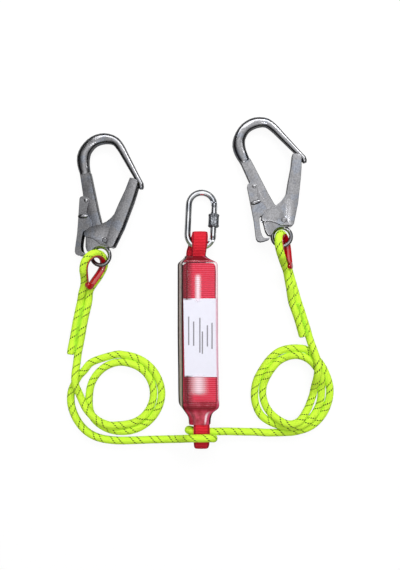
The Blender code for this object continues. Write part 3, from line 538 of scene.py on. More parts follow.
# %% The film effect
def film_effect():
    first_values = {"Clear": (0.9, 0.62, 0.68), "Cloudy": (0.84, 0.72, 0.68)}
    first_values |= {"Gathered": (0.34, 0.012, 0.03), "Veil": 0.02}
    outputs = ("Color", "Alpha", "Roughness", "Coat", "Height")
    group, given, result = start_group("Shrunk film", first_values, outputs)
    along, side = sheet_on(group)
    patches = noise(group, place_on(group), FILM_PATCHES, 3.0)
    ribs = ribs_along(group, along, FILM_RIBS)

    def beyond(upper, lower):
        """0 in the middle of the pack and 1 beyond these two ends."""
        return maths(group, "MAXIMUM", ramp(group, along, *upper), ramp(group, along, *lower))

    def in_spans(value, spans):
        return chained(group, "MAXIMUM", *(band(group, value, *span) for span in spans))

    def share_of(value, share):
        return maths(group, "MULTIPLY", value, share)

    # The flank is painted dark brown, as shade on the side of the pack.
    flank = band(group, side, *FLANK)
    pale = share_of(band(group, side, *PALE_FLANK), ramp(group, patches, *PATCH_SPAN, 0.75, 1.0))
    edge_shade = share_of(ramp(group, side, 1.70, 1.84), 0.55)
    shaded = maths(group, "MAXIMUM", band(group, side, *SHADED_SIDE), edge_shade)
    shaded = share_of(share_of(shaded, ramp(group, side, 2.12, 2.02)), beyond(*PAST_LABEL))
    # Painted highlight streaks, broken up by the ribs under the film.
    painted_highlight = 0.0
    for middle, half, low, high, soft in PAINTED_FILM_STREAKS:
        ends = band(group, along, low, high, PAINTED_STREAK_END_SOFT)
        part = share_of(band(group, side, middle - half, middle + half, soft), ends)
        painted_highlight = maths(group, "MAXIMUM", painted_highlight, part)
    painted_highlight = share_of(painted_highlight, ramp(group, ribs, 0.0, 0.6, 0.66, 0.92))
    gathered = mixed(group, ramp(group, patches, 0.3, 0.75), given["Gathered"], GATHERED_LIGHT)
    # The shadows of the neck folds are painted into the gathered film.
    gathered = mixed(group, in_spans(along, NECK_FOLD_SHADOWS), gathered, FOLD_SHADOW_RED)

    colour, cover = given["Clear"], maths(group, "MULTIPLY_ADD", patches, 0.05, given["Veil"])
    layers = [
        (beyond(*NECKS), gathered),
        (share_of(shaded, 0.7), SHADE_RED),
        (share_of(band(group, side, *RIM), 0.40), RIM_RED),
        (flank, FLANK_SHADE_BROWN),
        (pale, given["Cloudy"]),
        (in_spans(side, SHADED_CREASES), CREASE_SHADE_BLACK),
        (painted_highlight, PAINTED_HIGHLIGHT_WHITE),
    ]
    for share, tint in layers:
        see_through = share_of(maths(group, "SUBTRACT", 1.0, cover), maths(group, "SUBTRACT", 1.0, share))
        cover = maths(group, "SUBTRACT", 1.0, see_through)
        colour = mixed(group, maths(group, "DIVIDE", share, cover), colour, tint)
    feed(group, result["Color"], colour)
    feed(group, result["Alpha"], cover)
    feed(group, result["Coat"], share_of(beyond(*GLOSSY_ENDS), 0.5))
    feed(group, result["Roughness"], ramp(group, flank, 0.0, 1.0, 0.14, 0.6))
    wrinkles = noise(group, place_on(group), 60.0, 2.0)
    feed(group, result["Height"], maths(group, "MULTIPLY_ADD", ribs, 0.24, wrinkles))
    return group


FILM = film_effect()
print("film effect with", len(FILM.nodes), "nodes")

# %% [markdown]
# The label lies under the film. Its place is bare but for some plain ruled lines, which are bands
# across the paper, because a few bands are sharper than a small picture and need no file.

# %% The label effect
# Each ruled line: its place across the label, and its two ends along it.
LABEL_LINES = [
    (-3.0, -52.0, -98.0), (5.0, -60.0, -99.0), (15.0, -54.0, -110.0), (19.0, -76.0, -112.0),
    (27.0, -66.0, -100.0), (34.5, -62.0, -104.0),
]
LABEL_LINE_WIDTH = 2.0


def label_effect():
    first_values = {"Paper": (0.85, 0.85, 0.9), "Ink": (0.2, 0.2, 0.22)}
    group, given, result = start_group("Ruled label", first_values, ("Color", "Height"))
    place = axes(group, place_on(group))
    across = maths(group, "DIVIDE", place["X"], MM)
    along = maths(group, "DIVIDE", place["Y"], MM)
    half = LABEL_LINE_WIDTH / 2
    ink = 0.0
    for middle, top, bottom in LABEL_LINES:
        x, high, low = middle + SHIFT[0], top + SHIFT[1], bottom + SHIFT[1]
        line = band(group, across, x - half, x + half, 0.3)
        line = maths(group, "MULTIPLY", line, band(group, along, low, high, 0.5))
        ink = maths(group, "MAXIMUM", ink, line)
    feed(group, result["Color"], mixed(group, ink, given["Paper"], given["Ink"]))
    feed(group, result["Height"], noise(group, place_on(group), 30.0, 1.0))
    return group


LABEL = label_effect()
print("label effect with", len(LABEL_LINES), "ruled lines")

# %% [markdown]
# The thimbles are moulded from plastic. It is almost even, and slight darker patches and a fine
# grain keep its gloss from looking like paint. The seam thread takes the same effect without gloss.


# %% The plastic effect
def plastic_effect():
    first_values = {"Pigment": (0.5, 0.01, 0.015), "Gloss": 0.25}
    group, given, result = start_group("Moulded plastic", first_values, ("Color", "Roughness", "Height"))
    place = place_on(group)
    patches = noise(group, place, 120.0)
    darker = ramp(group, patches, *PATCH_SPAN, 0.0, 0.12)
    feed(group, result["Color"], mixed(group, darker, given["Pigment"], (0.1, 0.0, 0.0)))
    spread = ramp(group, patches, *PATCH_SPAN, -0.04, 0.06)
    feed(group, result["Roughness"], maths(group, "ADD", given["Gloss"], spread))
    feed(group, result["Height"], noise(group, place, 500.0))
    return group


PLASTIC = plastic_effect()
print("plastic effect with", len(PLASTIC.nodes), "nodes")

# %% [markdown]
# One material for each kind of surface. Each look is a material and the name of a slot. Colours of
# cloth, cord and plastic are given as they look on a screen, because that is how they are easiest to
# compare with the real thing.

# %% Materials
METAL = {"Metallic": 1.0}
CLOTH = {"Roughness": 0.8, "Specular IOR Level": 0.2}
# The rope's emission strength carries its painted glow.
BRAID = {"Roughness": 0.75, "Specular IOR Level": 0.25, "Emission Strength": 1.0}
CLEAR = {"Coat Roughness": 0.1, "Specular IOR Level": 0.1}
PAPER = {"Roughness": 0.5}
MOULDED = {"Coat Weight": 1.0, "Coat Roughness": 0.08}
# The seam thread gives off a painted glow, which lifts it out of the shade of the groove between the
# strands.
THREAD_PAINTED_GLOW = {"Emission Color": (0.53, 0.86, 0.06, 1.0), "Emission Strength": 0.22}

ROPE_YARN = {"Yarn": from_photo(199, 241, 58), "Painted Glow Share": 0.10}
PAPER_AND_INK = {"Paper": from_photo(226, 228, 240), "Ink": from_photo(118, 118, 128)}
THIMBLE_RED = {"Pigment": from_photo(178, 4, 18), "Gloss": 0.16}
THREAD_GREEN = {"Pigment": from_photo(190, 236, 64), "Gloss": 0.7}


def steel_look(name, colour, polish, relief, slot_name, **more):
    return material(name, STEEL, {"Steel": colour, "Polish": polish, **more}, METAL, relief), slot_name


def webbing_look(name, dye, rib, pitch, edge, relief):
    values = {"Dye": from_photo(*dye), "Rib": from_photo(*rib), "Pitch": pitch, "Edge": edge}
    return material(name, WEBBING, values, CLOTH, relief), "webbing"


LOOKS = {
    "forged steel": steel_look("forged_steel", (0.225, 0.225, 0.235), 0.2, 0.10, "forged_steel"),
    "bright steel": steel_look(
        "bright_steel", (0.58, 0.59, 0.61), 0.17, 0.03, "polished_steel", Mottle=0.06
    ),
    "knurled steel": steel_look(
        "knurled_steel", (0.21, 0.22, 0.24), 0.42, 1.2, "polished_steel", Mottle=0.7
    ),
    "dark steel": steel_look("dark_steel", (0.2, 0.2, 0.21), 0.35, 0.05, "dark_steel"),
    "spring": steel_look("spring_steel", (0.35, 0.35, 0.36), 0.28, 0.05, "spring_steel"),
    "tear webbing": webbing_look("tear_webbing", (205, 12, 48), (222, 62, 92), 3.3, 26.8, 0.35),
    "loop webbing": webbing_look("loop_webbing", (194, 18, 34), (230, 48, 66), 2.4, 12.4, 0.5),
    "rope": (material("braided_rope", ROPE, ROPE_YARN, BRAID, 0.35), "rope"),
    "film": (material("shrunk_film", FILM, {}, CLEAR, 0.35), "film"),
    "label": (material("ruled_label", LABEL, PAPER_AND_INK, PAPER, 0.2), "label"),
    "plastic": (material("red_plastic", PLASTIC, THIMBLE_RED, MOULDED, 0.03), "thimble"),
    "thread": (material("seam_thread", PLASTIC, THREAD_GREEN, THREAD_PAINTED_GLOW, 0.2), "thread"),
}
print("looks:", ", ".join(LOOKS))

# %% [markdown]
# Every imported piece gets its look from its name, because left and right pieces and pieces of the
# same kind then always match. A piece that is drawn again further down gets its look there too.


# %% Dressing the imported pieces
def dress(piece, look):
    """Gives the piece the look's material."""
    surface, slot_name = LOOKS[look]
    piece.data.materials.clear()
    piece.data.materials.append(surface)


def look_of(name):
    """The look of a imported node, from its name."""
    if name.endswith(("_rivet", "_pin", "_plunger")):
        return "dark steel" if name.startswith("carabiner") else "forged steel"
    if name.endswith("_spring"):
        return "spring"
    if name.endswith("_stitching"):
        return "thread"
    if name.endswith("_thimble"):
        return "plastic"
    if name.startswith("carabiner"):
        return "knurled steel" if name.endswith("_sleeve") else "bright steel"
    if name in ("top_loop", "bottom_loop"):
        return "loop webbing"
    if name in ("tear_webbing", "label"):
        return name.replace("_", " ")
    if name == "shock_sleeve":
        return "film"
    if "rope" in name or name.endswith("lower_run"):
        return "rope"
    return "forged steel"


for name, piece in nodes.items():
    dress(piece, look_of(name))
print("dressed", len(nodes), "packed nodes")

# %% [markdown]
# Each arm of the rope ends in an eye round a thimble. The eye is a teardrop in a tilted plane: two
# limbs that part, and half a circle over the hook's ring. The rope and the thimble both follow it,
# so one function works it out for both, and they fit each other at any size.

# %% The eyes of the rope
# Each eye: the middle of its half circle, and the pitch, tilt and yaw of its plane in degrees.
THIMBLES = {
    "left": ((-157.2, 31.0, 23.5), (8.0, 50.0, -18.0)),
    "right": ((149.5, 62.0, 27.2), (12.0, 62.0, 15.0)),
}
LOOP_RADIUS = 20.5
LOOP_PAIR = 6.3
LOOP_LENGTH = 45.0


def eye_stations(steps):
    """(u, v) along the eye in its own plane, from its left limb over the crown to its right limb."""
    limb = []
    for part in np.linspace(1, 0, steps, endpoint=False):
        spread = LOOP_RADIUS + (LOOP_PAIR - LOOP_RADIUS) * (3 * part**2 - 2 * part**3)
        limb.append((-spread, -LOOP_LENGTH * part))
    angles = np.linspace(math.pi, 0, 2 * steps - 1)
    crown = [(LOOP_RADIUS * math.cos(angle), LOOP_RADIUS * math.sin(angle)) for angle in angles]
    mirrored = [(-u, v) for u, v in reversed(limb)]
    return np.array(limb + crown + mirrored)


def turn_of(degrees):
    """The matrix of a pitch, tilt and yaw."""
    return np.array(Euler([math.radians(angle) for angle in degrees], "YXZ").to_matrix())


def eye_places(side, stations, level=0.0):
    """Points in the eye's plane, or at a level over it, laid where the eye lies."""
    middle, degrees = THIMBLES[side]
    flat = np.column_stack([stations, np.full(len(stations), level)])
    return flat @ turn_of(degrees).T + np.array(middle)


ROPE_EYE_STEPS = 5
print("the rope has", len(eye_stations(ROPE_EYE_STEPS)), "stations round each eye")

# %% [markdown]
# The rope is one line from the end of the left tail to the end of the right one. Straight parts are
# listed points. A coil is a turn with a radius that changes with the angle, worked out by a loop,
# because that keeps its curve even where points by hand would wobble. In the knot the heights are
# given too. Everywhere else a later step settles them.

# %% The rope's places
LEFT_TAIL = [(-198.6, -115.9, 6.1), (-195.4, -92.7, 6.1), (-189.5, -59.5, 6.1), (-182.6, -28.0, 6.4)]
LEFT_STANDING = [
    (-170.0, -29.0, 6.6), (-177.0, -59.5, 6.1), (-183.0, -92.7, 6.1), (-187.0, -112.5, 7.4),
    (-188.6, -125.2, 12.0), (-189.4, -138.0, 17.0), (-189.6, -152.0, 18.5), (-189.2, -166.0, 18.3),
    (-185.6, -176.0, 18.3), (-178.4, -192.5, 18.3), (-167.0, -209.8, 17.0), (-151.4, -224.6, 11.0),
]
# Each coil: its centre, then pairs of an angle in degrees and the radius there.
LEFT_COIL_CENTRE = (-114.0, -181.4)
LEFT_COIL = [
    (249, 54.6), (262, 51.6), (280, 51.2), (310, 52.0), (450, 52.3), (500, 52.8), (540, 54.4),
    (554, 56.6), (568, 61.0), (582, 63.0), (600, 63.2), (630, 62.8), (680, 64.0), (720, 65.6),
    (742, 64.6), (775, 64.0), (795, 63.6), (812, 64.4), (828, 67.0),
]
LEFT_LOWER = [
    (-163.9, -129.0, 6.1), (-177.0, -143.6, 6.1), (-184.9, -150.8, 6.1), (-191.6, -162.4, 6.1),
    (-197.4, -174.1, 6.1), (-199.4, -185.7, 6.1), (-198.6, -200.6, 6.1), (-193.3, -217.2, 6.1),
    (-183.3, -233.9, 6.1), (-169.2, -247.2, 6.1), (-150.9, -255.5, 6.1), (-126.0, -259.3, 6.1),
    (-101.1, -259.4, 6.1), (-67.9, -258.1, 6.3),
]
HITCH = [
    (-50.5, -257.6, 6.5), (-40.0, -257.0, 7.8), (-24.0, -255.0, 13.5), (-12.0, -251.8, 23.5),
    (-3.5, -248.6, 33.0), (4.0, -247.3, 37.2), (17.5, -247.1, 37.5), (30.0, -246.8, 37.2),
    (35.6, -248.2, 33.8), (37.6, -250.2, 27.2), (37.4, -252.0, 19.0), (36.9, -253.4, 12.5),
    (33.4, -254.0, 7.4), (28.0, -253.2, 6.1), (20.0, -250.6, 6.1), (10.0, -246.0, 6.1),
    (2.0, -241.9, 6.3), (-3.2, -240.0, 9.8), (-4.9, -239.6, 15.0), (-1.2, -239.6, 20.0),
    (5.5, -239.6, 22.1), (17.5, -239.9, 22.4), (30.0, -240.3, 22.5), (36.0, -240.6, 21.6),
    (42.0, -241.2, 18.9), (58.0, -243.0, 11.0), (70.0, -244.2, 7.5),
]
RIGHT_LOWER = [(89.9, -245.0, 6.1), (106.5, -245.2, 6.1), (128.1, -246.6, 6.1)]
RIGHT_COIL_CENTRE = (168.0, -174.2)
RIGHT_COIL = [
    (-99, 72.6), (-79, 69.6), (-64, 69.1), (-48, 67.0), (-23, 64.0), (-3, 63.0), (9, 62.2),
    (26, 61.6), (49, 64.3), (71, 70.0), (91, 67.8), (108, 66.5), (122, 62.9), (137, 59.6),
    (152, 58.9), (165, 60.3), (183, 62.3), (195, 64.3), (208, 66.3), (222, 67.4), (236, 65.3),
    (250, 63.4), (268, 61.6), (287, 60.0), (310, 55.5), (356, 48.3), (398, 53.0), (423, 57.0),
    (445, 57.7), (462, 53.8), (500, 48.0), (519, 47.2), (546, 49.4), (559, 50.3), (589, 53.6),
    (624, 55.4), (642, 50.5), (660, 43.6), (688, 36.4), (720, 35.6),
]
RIGHT_STANDING = [
    (206.4, -151.5, 17.0), (207.0, -127.5, 18.4), (201.6, -107.6, 14.0), (197.6, -92.7, 6.1),
    (193.2, -76.1, 6.1), (188.0, -59.5, 6.1), (182.6, -42.8, 6.1), (177.2, -26.2, 6.1),
]
RIGHT_TAIL = [
    (166.3, -26.2, 11.8), (171.7, -42.8, 11.8), (177.4, -59.5, 11.8), (182.0, -76.1, 11.8),
    (184.9, -87.0, 11.8),
]
print("the knot has", len(HITCH), "places")

# %% [markdown]
# These places are joined to one smooth curve, and points are laid along it at even steps. A fourth
# column says whether the height of a place is settled already, as in the knot and over the thimbles.

# %% The rope's line
COIL_STEP = 10
ROPE_STEP = 1.6
FINE_STEPS = 12
EYE_HELD = 9.0
LEAN_START = 22.0
EYE_LEAN = {"left": (-3.0, -1.8), "right": (0.0, 0.0)}


def coil(centre, turns):
    """Points every COIL_STEP degrees, at the radius that the list of (angle, radius) gives."""
    angles, radii = np.array(turns, float).T
    stops = np.arange(angles[0], angles[-1] + 0.1, COIL_STEP)
    reach = np.interp(stops, angles, radii)
    across = centre[0] + reach * np.cos(np.radians(stops))
    along = centre[1] + reach * np.sin(np.radians(stops))
    return np.column_stack([across, along, np.full(len(stops), ROPE_FLOOR)])


def along_line(line):
    """How far along the line each of its points is."""
    return np.concatenate([[0], np.cumsum(np.linalg.norm(np.diff(line, axis=0), axis=1))])


def smooth_line(points, spacing):
    """Points on a smooth curve through the given ones, a spacing apart.
    A fourth column is carried along."""
    knots = np.array(points, float)
    ends = np.vstack([2 * knots[0] - knots[1], knots, 2 * knots[-1] - knots[-2]])
    share = np.linspace(0, 1, FINE_STEPS, endpoint=False)[:, None]
    fine = []
    for before, start, end, after in zip(ends, ends[1:], ends[2:], ends[3:]):
        slope = (end - before) * share
        bend = (2 * before - 5 * start + 4 * end - after) * share**2
        twist = (3 * start - before - 3 * end + after) * share**3
        fine.append(0.5 * (2 * start + slope + bend + twist))
    fine = np.vstack([*fine, knots[-1:]])
    gone = along_line(fine[:, :3])
    stops = np.linspace(0, gone[-1], round(gone[-1] / spacing) + 1)
    return np.column_stack([np.interp(stops, gone, column) for column in fine.T])


def marked(points, held):
    """The points with a fourth column: 1 where the height is settled and 0 where it may change."""
    places = np.array(points, float)
    return np.column_stack([places, np.full(len(places), float(held))])


def eye_knots(side):
    """The eye's places, settled from the crown down to where the two limbs lie down on the floor."""
    stations = eye_stations(ROPE_EYE_STEPS)
    places = marked(eye_places(side, stations), 1)
    lean = np.where(stations[:, 0] < 0, *EYE_LEAN[side])
    places[:, 0] += lean * np.maximum(0.0, (-stations[:, 1] - LEAN_START) / (LOOP_LENGTH - LEAN_START))
    places[stations[:, 1] < -EYE_HELD, 3] = 0
    return places


rope_knots = np.vstack([
    marked(LEFT_TAIL, 0),
    eye_knots("left"),
    marked(LEFT_STANDING, 0),
    marked(coil(LEFT_COIL_CENTRE, LEFT_COIL), 0),
    marked(LEFT_LOWER, 0),
    marked(HITCH, 1),
    marked(RIGHT_LOWER, 0),
    marked(coil(RIGHT_COIL_CENTRE, RIGHT_COIL), 0),
    marked(RIGHT_STANDING, 0),
    eye_knots("right")[::-1],
    marked(RIGHT_TAIL, 1),
])
rope_line = smooth_line(rope_knots, ROPE_STEP)
print("rope line of", len(rope_line), "points")

# %% [markdown]
# Two strands that cross can't share the same place. A simulation of the rope would settle this by
# itself, but it would also move the coils away from where they lie in the picture. So only heights
# change here: the upper strand is lifted until the two just touch, and the line is kept smooth. The
# part nearer the rope's left end is the upper one left of the knot, and the later part right of it.

# %% Strands that touch
TOUCH = 2 * ROPE_RADIUS
NEAR_ALONG = 24
EASE_ROUNDS = 10
SETTLE_ROUNDS = 500
SINK = 0.05
YIELD = 0.1


def eased(values):
    """The values with each inner one drawn halfway to its neighbours' middle."""
    drawn = values.copy()
    drawn[1:-1] = (values[:-2] + 2 * values[1:-1] + values[2:]) / 4
    return drawn


def eased_columns(table):
    return np.column_stack([eased(column) for column in table.T])


def settle_heights(line):
    """The heights of the line once its crossings lie on each other."""
    flat, heights, free = line[:, :2], line[:, 2].copy(), line[:, 3] < 0.5
    apart = np.linalg.norm(flat[:, None, :] - flat[None, :, :], axis=2)
    first, second = np.nonzero(np.triu(apart < TOUCH, NEAR_ALONG))
    loose = free[first] | free[second]
    first, second = first[loose], second[loose]
    gap = np.sqrt(np.maximum(0.0, TOUCH**2 - apart[first, second] ** 2))
    left_side = second < len(line) / 2
    upper, lower = np.where(left_side, first, second), np.where(left_side, second, first)
    for _ in range(SETTLE_ROUNDS):
        for _ in range(3):
            heights[free] = eased(heights)[free]
        heights[free] = np.maximum(ROPE_FLOOR, heights[free] - SINK)
        push = np.maximum(0.0, gap - (heights[upper] - heights[lower]))
        lift, drop = np.zeros(len(heights)), np.zeros(len(heights))
        np.maximum.at(lift, upper, push)
        np.maximum.at(drop, lower, push * YIELD)
        heights[free] = np.maximum(ROPE_FLOOR, (heights + lift - drop)[free])
    heights[free] = eased(eased(heights))[free]
    short = gap - (heights[upper] - heights[lower])
    return heights, float(short.max(initial=0.0)), len(first)


for _ in range(EASE_ROUNDS):
    rope_line[:, :3] = eased_columns(rope_line[:, :3])
rope_line[:, 2], worst, crossings = settle_heights(rope_line)

# %% [markdown]
# Every new piece is a row of rings of points, joined by four-sided faces. One helper for all of them
# is shorter than a modelling step for each, and it gives every piece a map: two numbers for each
# point, such as millimetres along it and how far round or across it is. The materials follow that.


# %% Meshes from rings
def mesh_piece(name, points, faces, look, body, flat_angle):
    """A new piece from points in the frame's metres."""
    mesh = bpy.data.meshes.new(name)
    mesh.from_pydata(np.asarray(points).tolist(), [], faces)
    mesh.validate()
    mesh.shade_smooth()
    mesh.set_sharp_from_angle(angle=math.radians(flat_angle))
    made = bpy.data.objects.new(name, mesh)
    scene.collection.objects.link(made)
    dress(made, look)
    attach(made, body)
    return made


def grid_faces(rows, columns):
    """Quads between rings of points, with a face over each of the two ends."""
    faces = []
    for row in range(rows - 1):
        for column in range(columns):
            after = (column + 1) % columns
            here, there = row * columns, (row + 1) * columns
            faces.append((here + column, here + after, there + after, there + column))
    faces.append(tuple(range(columns))[::-1])
    faces.append(tuple(range((rows - 1) * columns, rows * columns)))
    return faces


def ringed_piece(name, rings, sheet, turn_length, look, flat_angle, body=ROOT):
    """A closed piece from rings of points in drawn millimetres, mapped by the sheet's two numbers.
    The second number grows by turn_length once round, so the last strip of faces runs on past it."""
    rings, sheet = np.array(rings), np.array(sheet)
    rows, columns = rings.shape[:2]
    points = (rings.reshape(-1, 3) + SHIFT) * MM
    piece = mesh_piece(name, points, grid_faces(rows, columns), look, body, flat_angle)
    layer = piece.data.uv_layers.new(name="along_and_round")
    for face in piece.data.polygons:
        last_strip = len(face.loop_indices) == 4 and face.index % columns == columns - 1
        for loop_index in face.loop_indices:
            row, column = divmod(piece.data.loops[loop_index].vertex_index, columns)
            along, turn = sheet[row, column]
            runs_on = turn_length if last_strip and column == 0 else 0.0
            layer.data[loop_index].uv = (along, turn + runs_on)
    return piece


def sheet_of(along, turns):
    """The map of a piece whose rings all have the same second numbers."""
    return np.stack(np.meshgrid(along, turns, indexing="ij"), axis=2)


def circle_angles(count):
    return np.linspace(0, 2 * math.pi, count, endpoint=False)


def round_rings(path, radii, count, squash=1.0):
    """Rings of points round a path, whose directions are carried along it without twist."""
    tangents = np.gradient(path, axis=0)
    tangents /= np.linalg.norm(tangents, axis=1)[:, None]
    up = np.array((0.0, 0.0, 1.0)) if abs(tangents[0][2]) < 0.9 else np.array((1.0, 0.0, 0.0))
    angles = circle_angles(count)
    rings = []
    for point, tangent, radius in zip(path, tangents, radii):
        across = np.cross(tangent, up)
        across /= np.linalg.norm(across)
        up = np.cross(across, tangent)
        spokes = np.outer(np.cos(angles), across) + np.outer(np.sin(angles), up * squash)
        rings.append(point + radius * spokes)
    return rings


print("ring helpers are ready")

# %% [markdown]
# The rope's skin is one tube along that line. Its map runs in millimetres along the rope and in
# turns round it, so that the tracer yarns wind at their real pitch.

# %% The rope
ROPE_SIDES = 20
ROPE_SKIN = ROPE_RADIUS + 0.22
END_ROUNDING = (0.80, 0.95)


def make_rope():
    line = rope_line[:, :3]
    radii = np.full(len(line), ROPE_SKIN)
    for index, share in enumerate(END_ROUNDING):
        radii[index] *= share
        radii[-1 - index] *= share
    rings = round_rings(line, radii, ROPE_SIDES)
    sheet = sheet_of(along_line(line), np.arange(ROPE_SIDES) / ROPE_SIDES)
    return ringed_piece("rope", rings, sheet, 1.0, "rope", 80.0)


rope = make_rope()
ROPE_NODES = [name for name in nodes if look_of(name) == "rope"]
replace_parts(rope, *ROPE_NODES)
print("rope replaces", ", ".join(sorted(ROPE_NODES)))

# %% [markdown]
# The thread of a seam goes to and fro across the groove between the two strands of an eye. It is one
# thin tube on a zigzag that looks up both strands at each stitch, so it stays on their skin.

# %% Seams
SEAMS = {"left": (-112.0, -36.0), "right": (-84.0, -30.0)}
SEAM_REACH = 3.4
SEAM_PITCH = 1.5
SEAM_THREAD = 0.75
SEAM_HEIGHT = math.sqrt(ROPE_SKIN**2 - (ROPE_RADIUS - SEAM_REACH) ** 2) + 0.1
SEAM_SIDES = 6


def make_seam(side):
    low, high = SEAMS[side]
    ends = (LEFT_TAIL, LEFT_STANDING) if side == "left" else (RIGHT_TAIL, RIGHT_STANDING)
    strands = [smooth_line(strand, 1.0) for strand in ends]
    points = []
    for index, along in enumerate(np.arange(low, high, SEAM_PITCH / 2)):
        tail, standing = (strand[np.argmin(np.abs(strand[:, 1] - along))] for strand in strands)
        across = standing - tail
        across /= np.linalg.norm(across)
        upward = np.cross(across, (0.0, 1.0, 0.0))
        upward *= math.copysign(1.0, upward[2])
        reach = SEAM_REACH if index % 2 else -SEAM_REACH
        points.append((tail + standing) / 2 + across * reach + upward * SEAM_HEIGHT)
    path = np.array(points)
    rings = round_rings(path, np.full(len(path), SEAM_THREAD), SEAM_SIDES)
    sheet = sheet_of(along_line(path), circle_angles(SEAM_SIDES))
    seam = ringed_piece(side + "_seam_thread", rings, sheet, 2 * math.pi, "thread", 80.0)
    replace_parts(seam, side + "_stitching")


for side in SEAMS:
    make_seam(side)
print("two seams")

# %% [markdown]
# Flat webbing is a strip with rounded edges. It could be a flat sheet with a thickness added later,
# but the sheet's sharp edges would show. Its stations give the strip's middle and width, and each
# ring of the strip is the same rounded outline, turned as the strip climbs and dips.

# %% Webbing loops
STRIP_STEP = 1.5
# Where the outline's points lie across the strip, as shares of its half width.
STRIP_SHARES = (1.0, 0.96, 0.72, 0.0, -0.72, -0.96, -1.0)
STRIP_THINNING = 0.75
ACROSS = np.array((1.0, 0.0, 0.0))


def strip_piece(name, stations, thickness, look, ease=3, lean=0.0):
    """A strip through stations of (across, along, height, width), seen level from side to side."""
    knots = smooth_line(stations, STRIP_STEP)
    for _ in range(ease):
        knots = eased_columns(knots)
    line = knots[:, :3]
    steps = np.gradient(line, axis=0)
    steps[:, 0] = 0
    steps /= np.linalg.norm(steps, axis=1)[:, None]
    rings, sheet = [], []
    for point, step, width, distance in zip(line, steps, knots[:, 3], along_line(line)):
        up = np.array((0.0, -step[2], step[1])) * thickness / 2
        upper = [(width / 2 * share, 1 - STRIP_THINNING * share**6) for share in STRIP_SHARES]
        outline = upper + [(-reach, -rise) for reach, rise in upper]
        rings.append([point + ACROSS * (reach + lean * up[2] * rise) + up * rise for reach, rise in outline])
        sheet.append([(distance, reach) for reach, _ in outline])
    return ringed_piece(name, rings, sheet, 0.0, look, 50.0)


TOP_LOOP = [
    (3.6, 30.0, 15.2, 24.0), (4.6, 46.0, 11.5, 25.0), (5.4, 55.0, 10.2, 25.0),
    (7.4, 62.0, 10.0, 24.5), (9.3, 69.0, 8.6, 24.5), (12.0, 76.0, 8.0, 24.5),
    (14.0, 82.2, 11.0, 24.5), (14.9, 85.7, 17.0, 24.0), (15.0, 82.2, 23.8, 25.6),
    (15.1, 76.0, 28.0, 26.0), (14.7, 66.0, 29.4, 25.0), (14.0, 56.0, 28.8, 23.4),
    (13.2, 46.0, 24.6, 22.6), (12.6, 30.0, 20.0, 24.0),
]
BOTTOM_LOOP = [
    (17.8, -203.0, 16.2, 26.0), (17.8, -212.0, 15.4, 26.0), (17.8, -228.0, 14.0, 26.0),
    (17.8, -240.0, 14.5, 26.0), (17.8, -255.0, 14.7, 26.0), (17.6, -263.0, 15.6, 25.0),
    (17.3, -268.6, 19.2, 20.0), (17.5, -264.5, 23.4, 24.0), (17.8, -258.0, 25.2, 25.6),
    (17.8, -248.0, 28.5, 26.4), (17.8, -238.6, 30.9, 26.4), (17.8, -228.0, 29.6, 26.0),
    (17.8, -212.0, 25.0, 26.0), (17.8, -203.0, 22.7, 26.0),
]
LOOP_THICK = 3.0
for loop_name, stations in (("top_loop", TOP_LOOP), ("bottom_loop", BOTTOM_LOOP)):
    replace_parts(strip_piece(loop_name + "_webbing", stations, LOOP_THICK, "loop webbing"), loop_name)
print("two webbing loops")

# %% [markdown]
# The pack holds one long strip that is folded to and fro in twelve layers. A block with lines on it
# would do under the film's flank, but the folds show through the clear film at both ends. So a loop
# lays the layers, and each upper layer reaches a little further than the one below it.

# %% The folded webbing
PACK_MIDDLE_HEIGHT = 18.0
PACK_LEAN = 0.27
TEAR_LAYERS = 12
TEAR_THICK = 2.6
TEAR_PITCH = 2.82
TEAR_BOTTOM = 0.8
# Where the lowest layer's two ends are, and the highest layer's.
TEAR_ENDS = ((-198.0, 28.0), (-199.0, 34.0))
TEAR_CORNER = 9.0
# Each row: a place along the pack, and the layer's middle and half width there.
TEAR_SHAPE = [
    (-202.0, 12.4, 28.0), (-150.0, 11.9, 27.4), (-20.0, 10.4, 26.0), (34.0, 10.4, 26.0),
]
LAYER_PARTS = (0.0, 0.04, 0.25, 0.5, 0.75, 0.96)
# The bend from a layer to the next: how far it stops short of the end, and its share of the climb.
BEND_PARTS = ((1.2, 0.3), (0.0, 1.0), (1.2, 1.7))


def folded_stations():
    """The folded strip from the floor up."""
    stations = []
    for layer in range(TEAR_LAYERS):
        share = layer / (TEAR_LAYERS - 1)
        low, high = (start + (end - start) * share for start, end in zip(*TEAR_ENDS))
        middle = TEAR_BOTTOM + TEAR_THICK / 2 + layer * TEAR_PITCH
        start, end, sign = (low, high, 1.0) if layer % 2 == 0 else (high, low, -1.0)
        for part in LAYER_PARTS:
            stations.append((start + (end - start) * part, middle))
        if layer < TEAR_LAYERS - 1:
            for short, climb in BEND_PARTS:
                stations.append((end - sign * short, middle + TEAR_PITCH / 2 * climb))
    placed = []
    stops, middles, halves = np.array(TEAR_SHAPE).T
    bottom_end, top_end = TEAR_ENDS[1]
    for along, height in stations:
        from_end = min(top_end - along, along - bottom_end)
        rounding = TEAR_CORNER * max(0.0, 1 - from_end / TEAR_CORNER) ** 2
        across = np.interp(along, stops, middles) + PACK_LEAN * (height - PACK_MIDDLE_HEIGHT)
        placed.append((across, along, height, 2 * np.interp(along, stops, halves) - rounding))
    return placed


layers = folded_stations()
pack_webbing = strip_piece("folded_tear_webbing", layers, TEAR_THICK, "tear webbing", 1, PACK_LEAN)
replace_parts(pack_webbing, "tear_webbing")
print("folded webbing with", len(pack_webbing.data.polygons), "faces")

# %% [markdown]
# The label is a thin oblong on the top layer. It needs its own piece, because it is a separate sheet
# of paper, and its edges lie a little askew as in the picture.

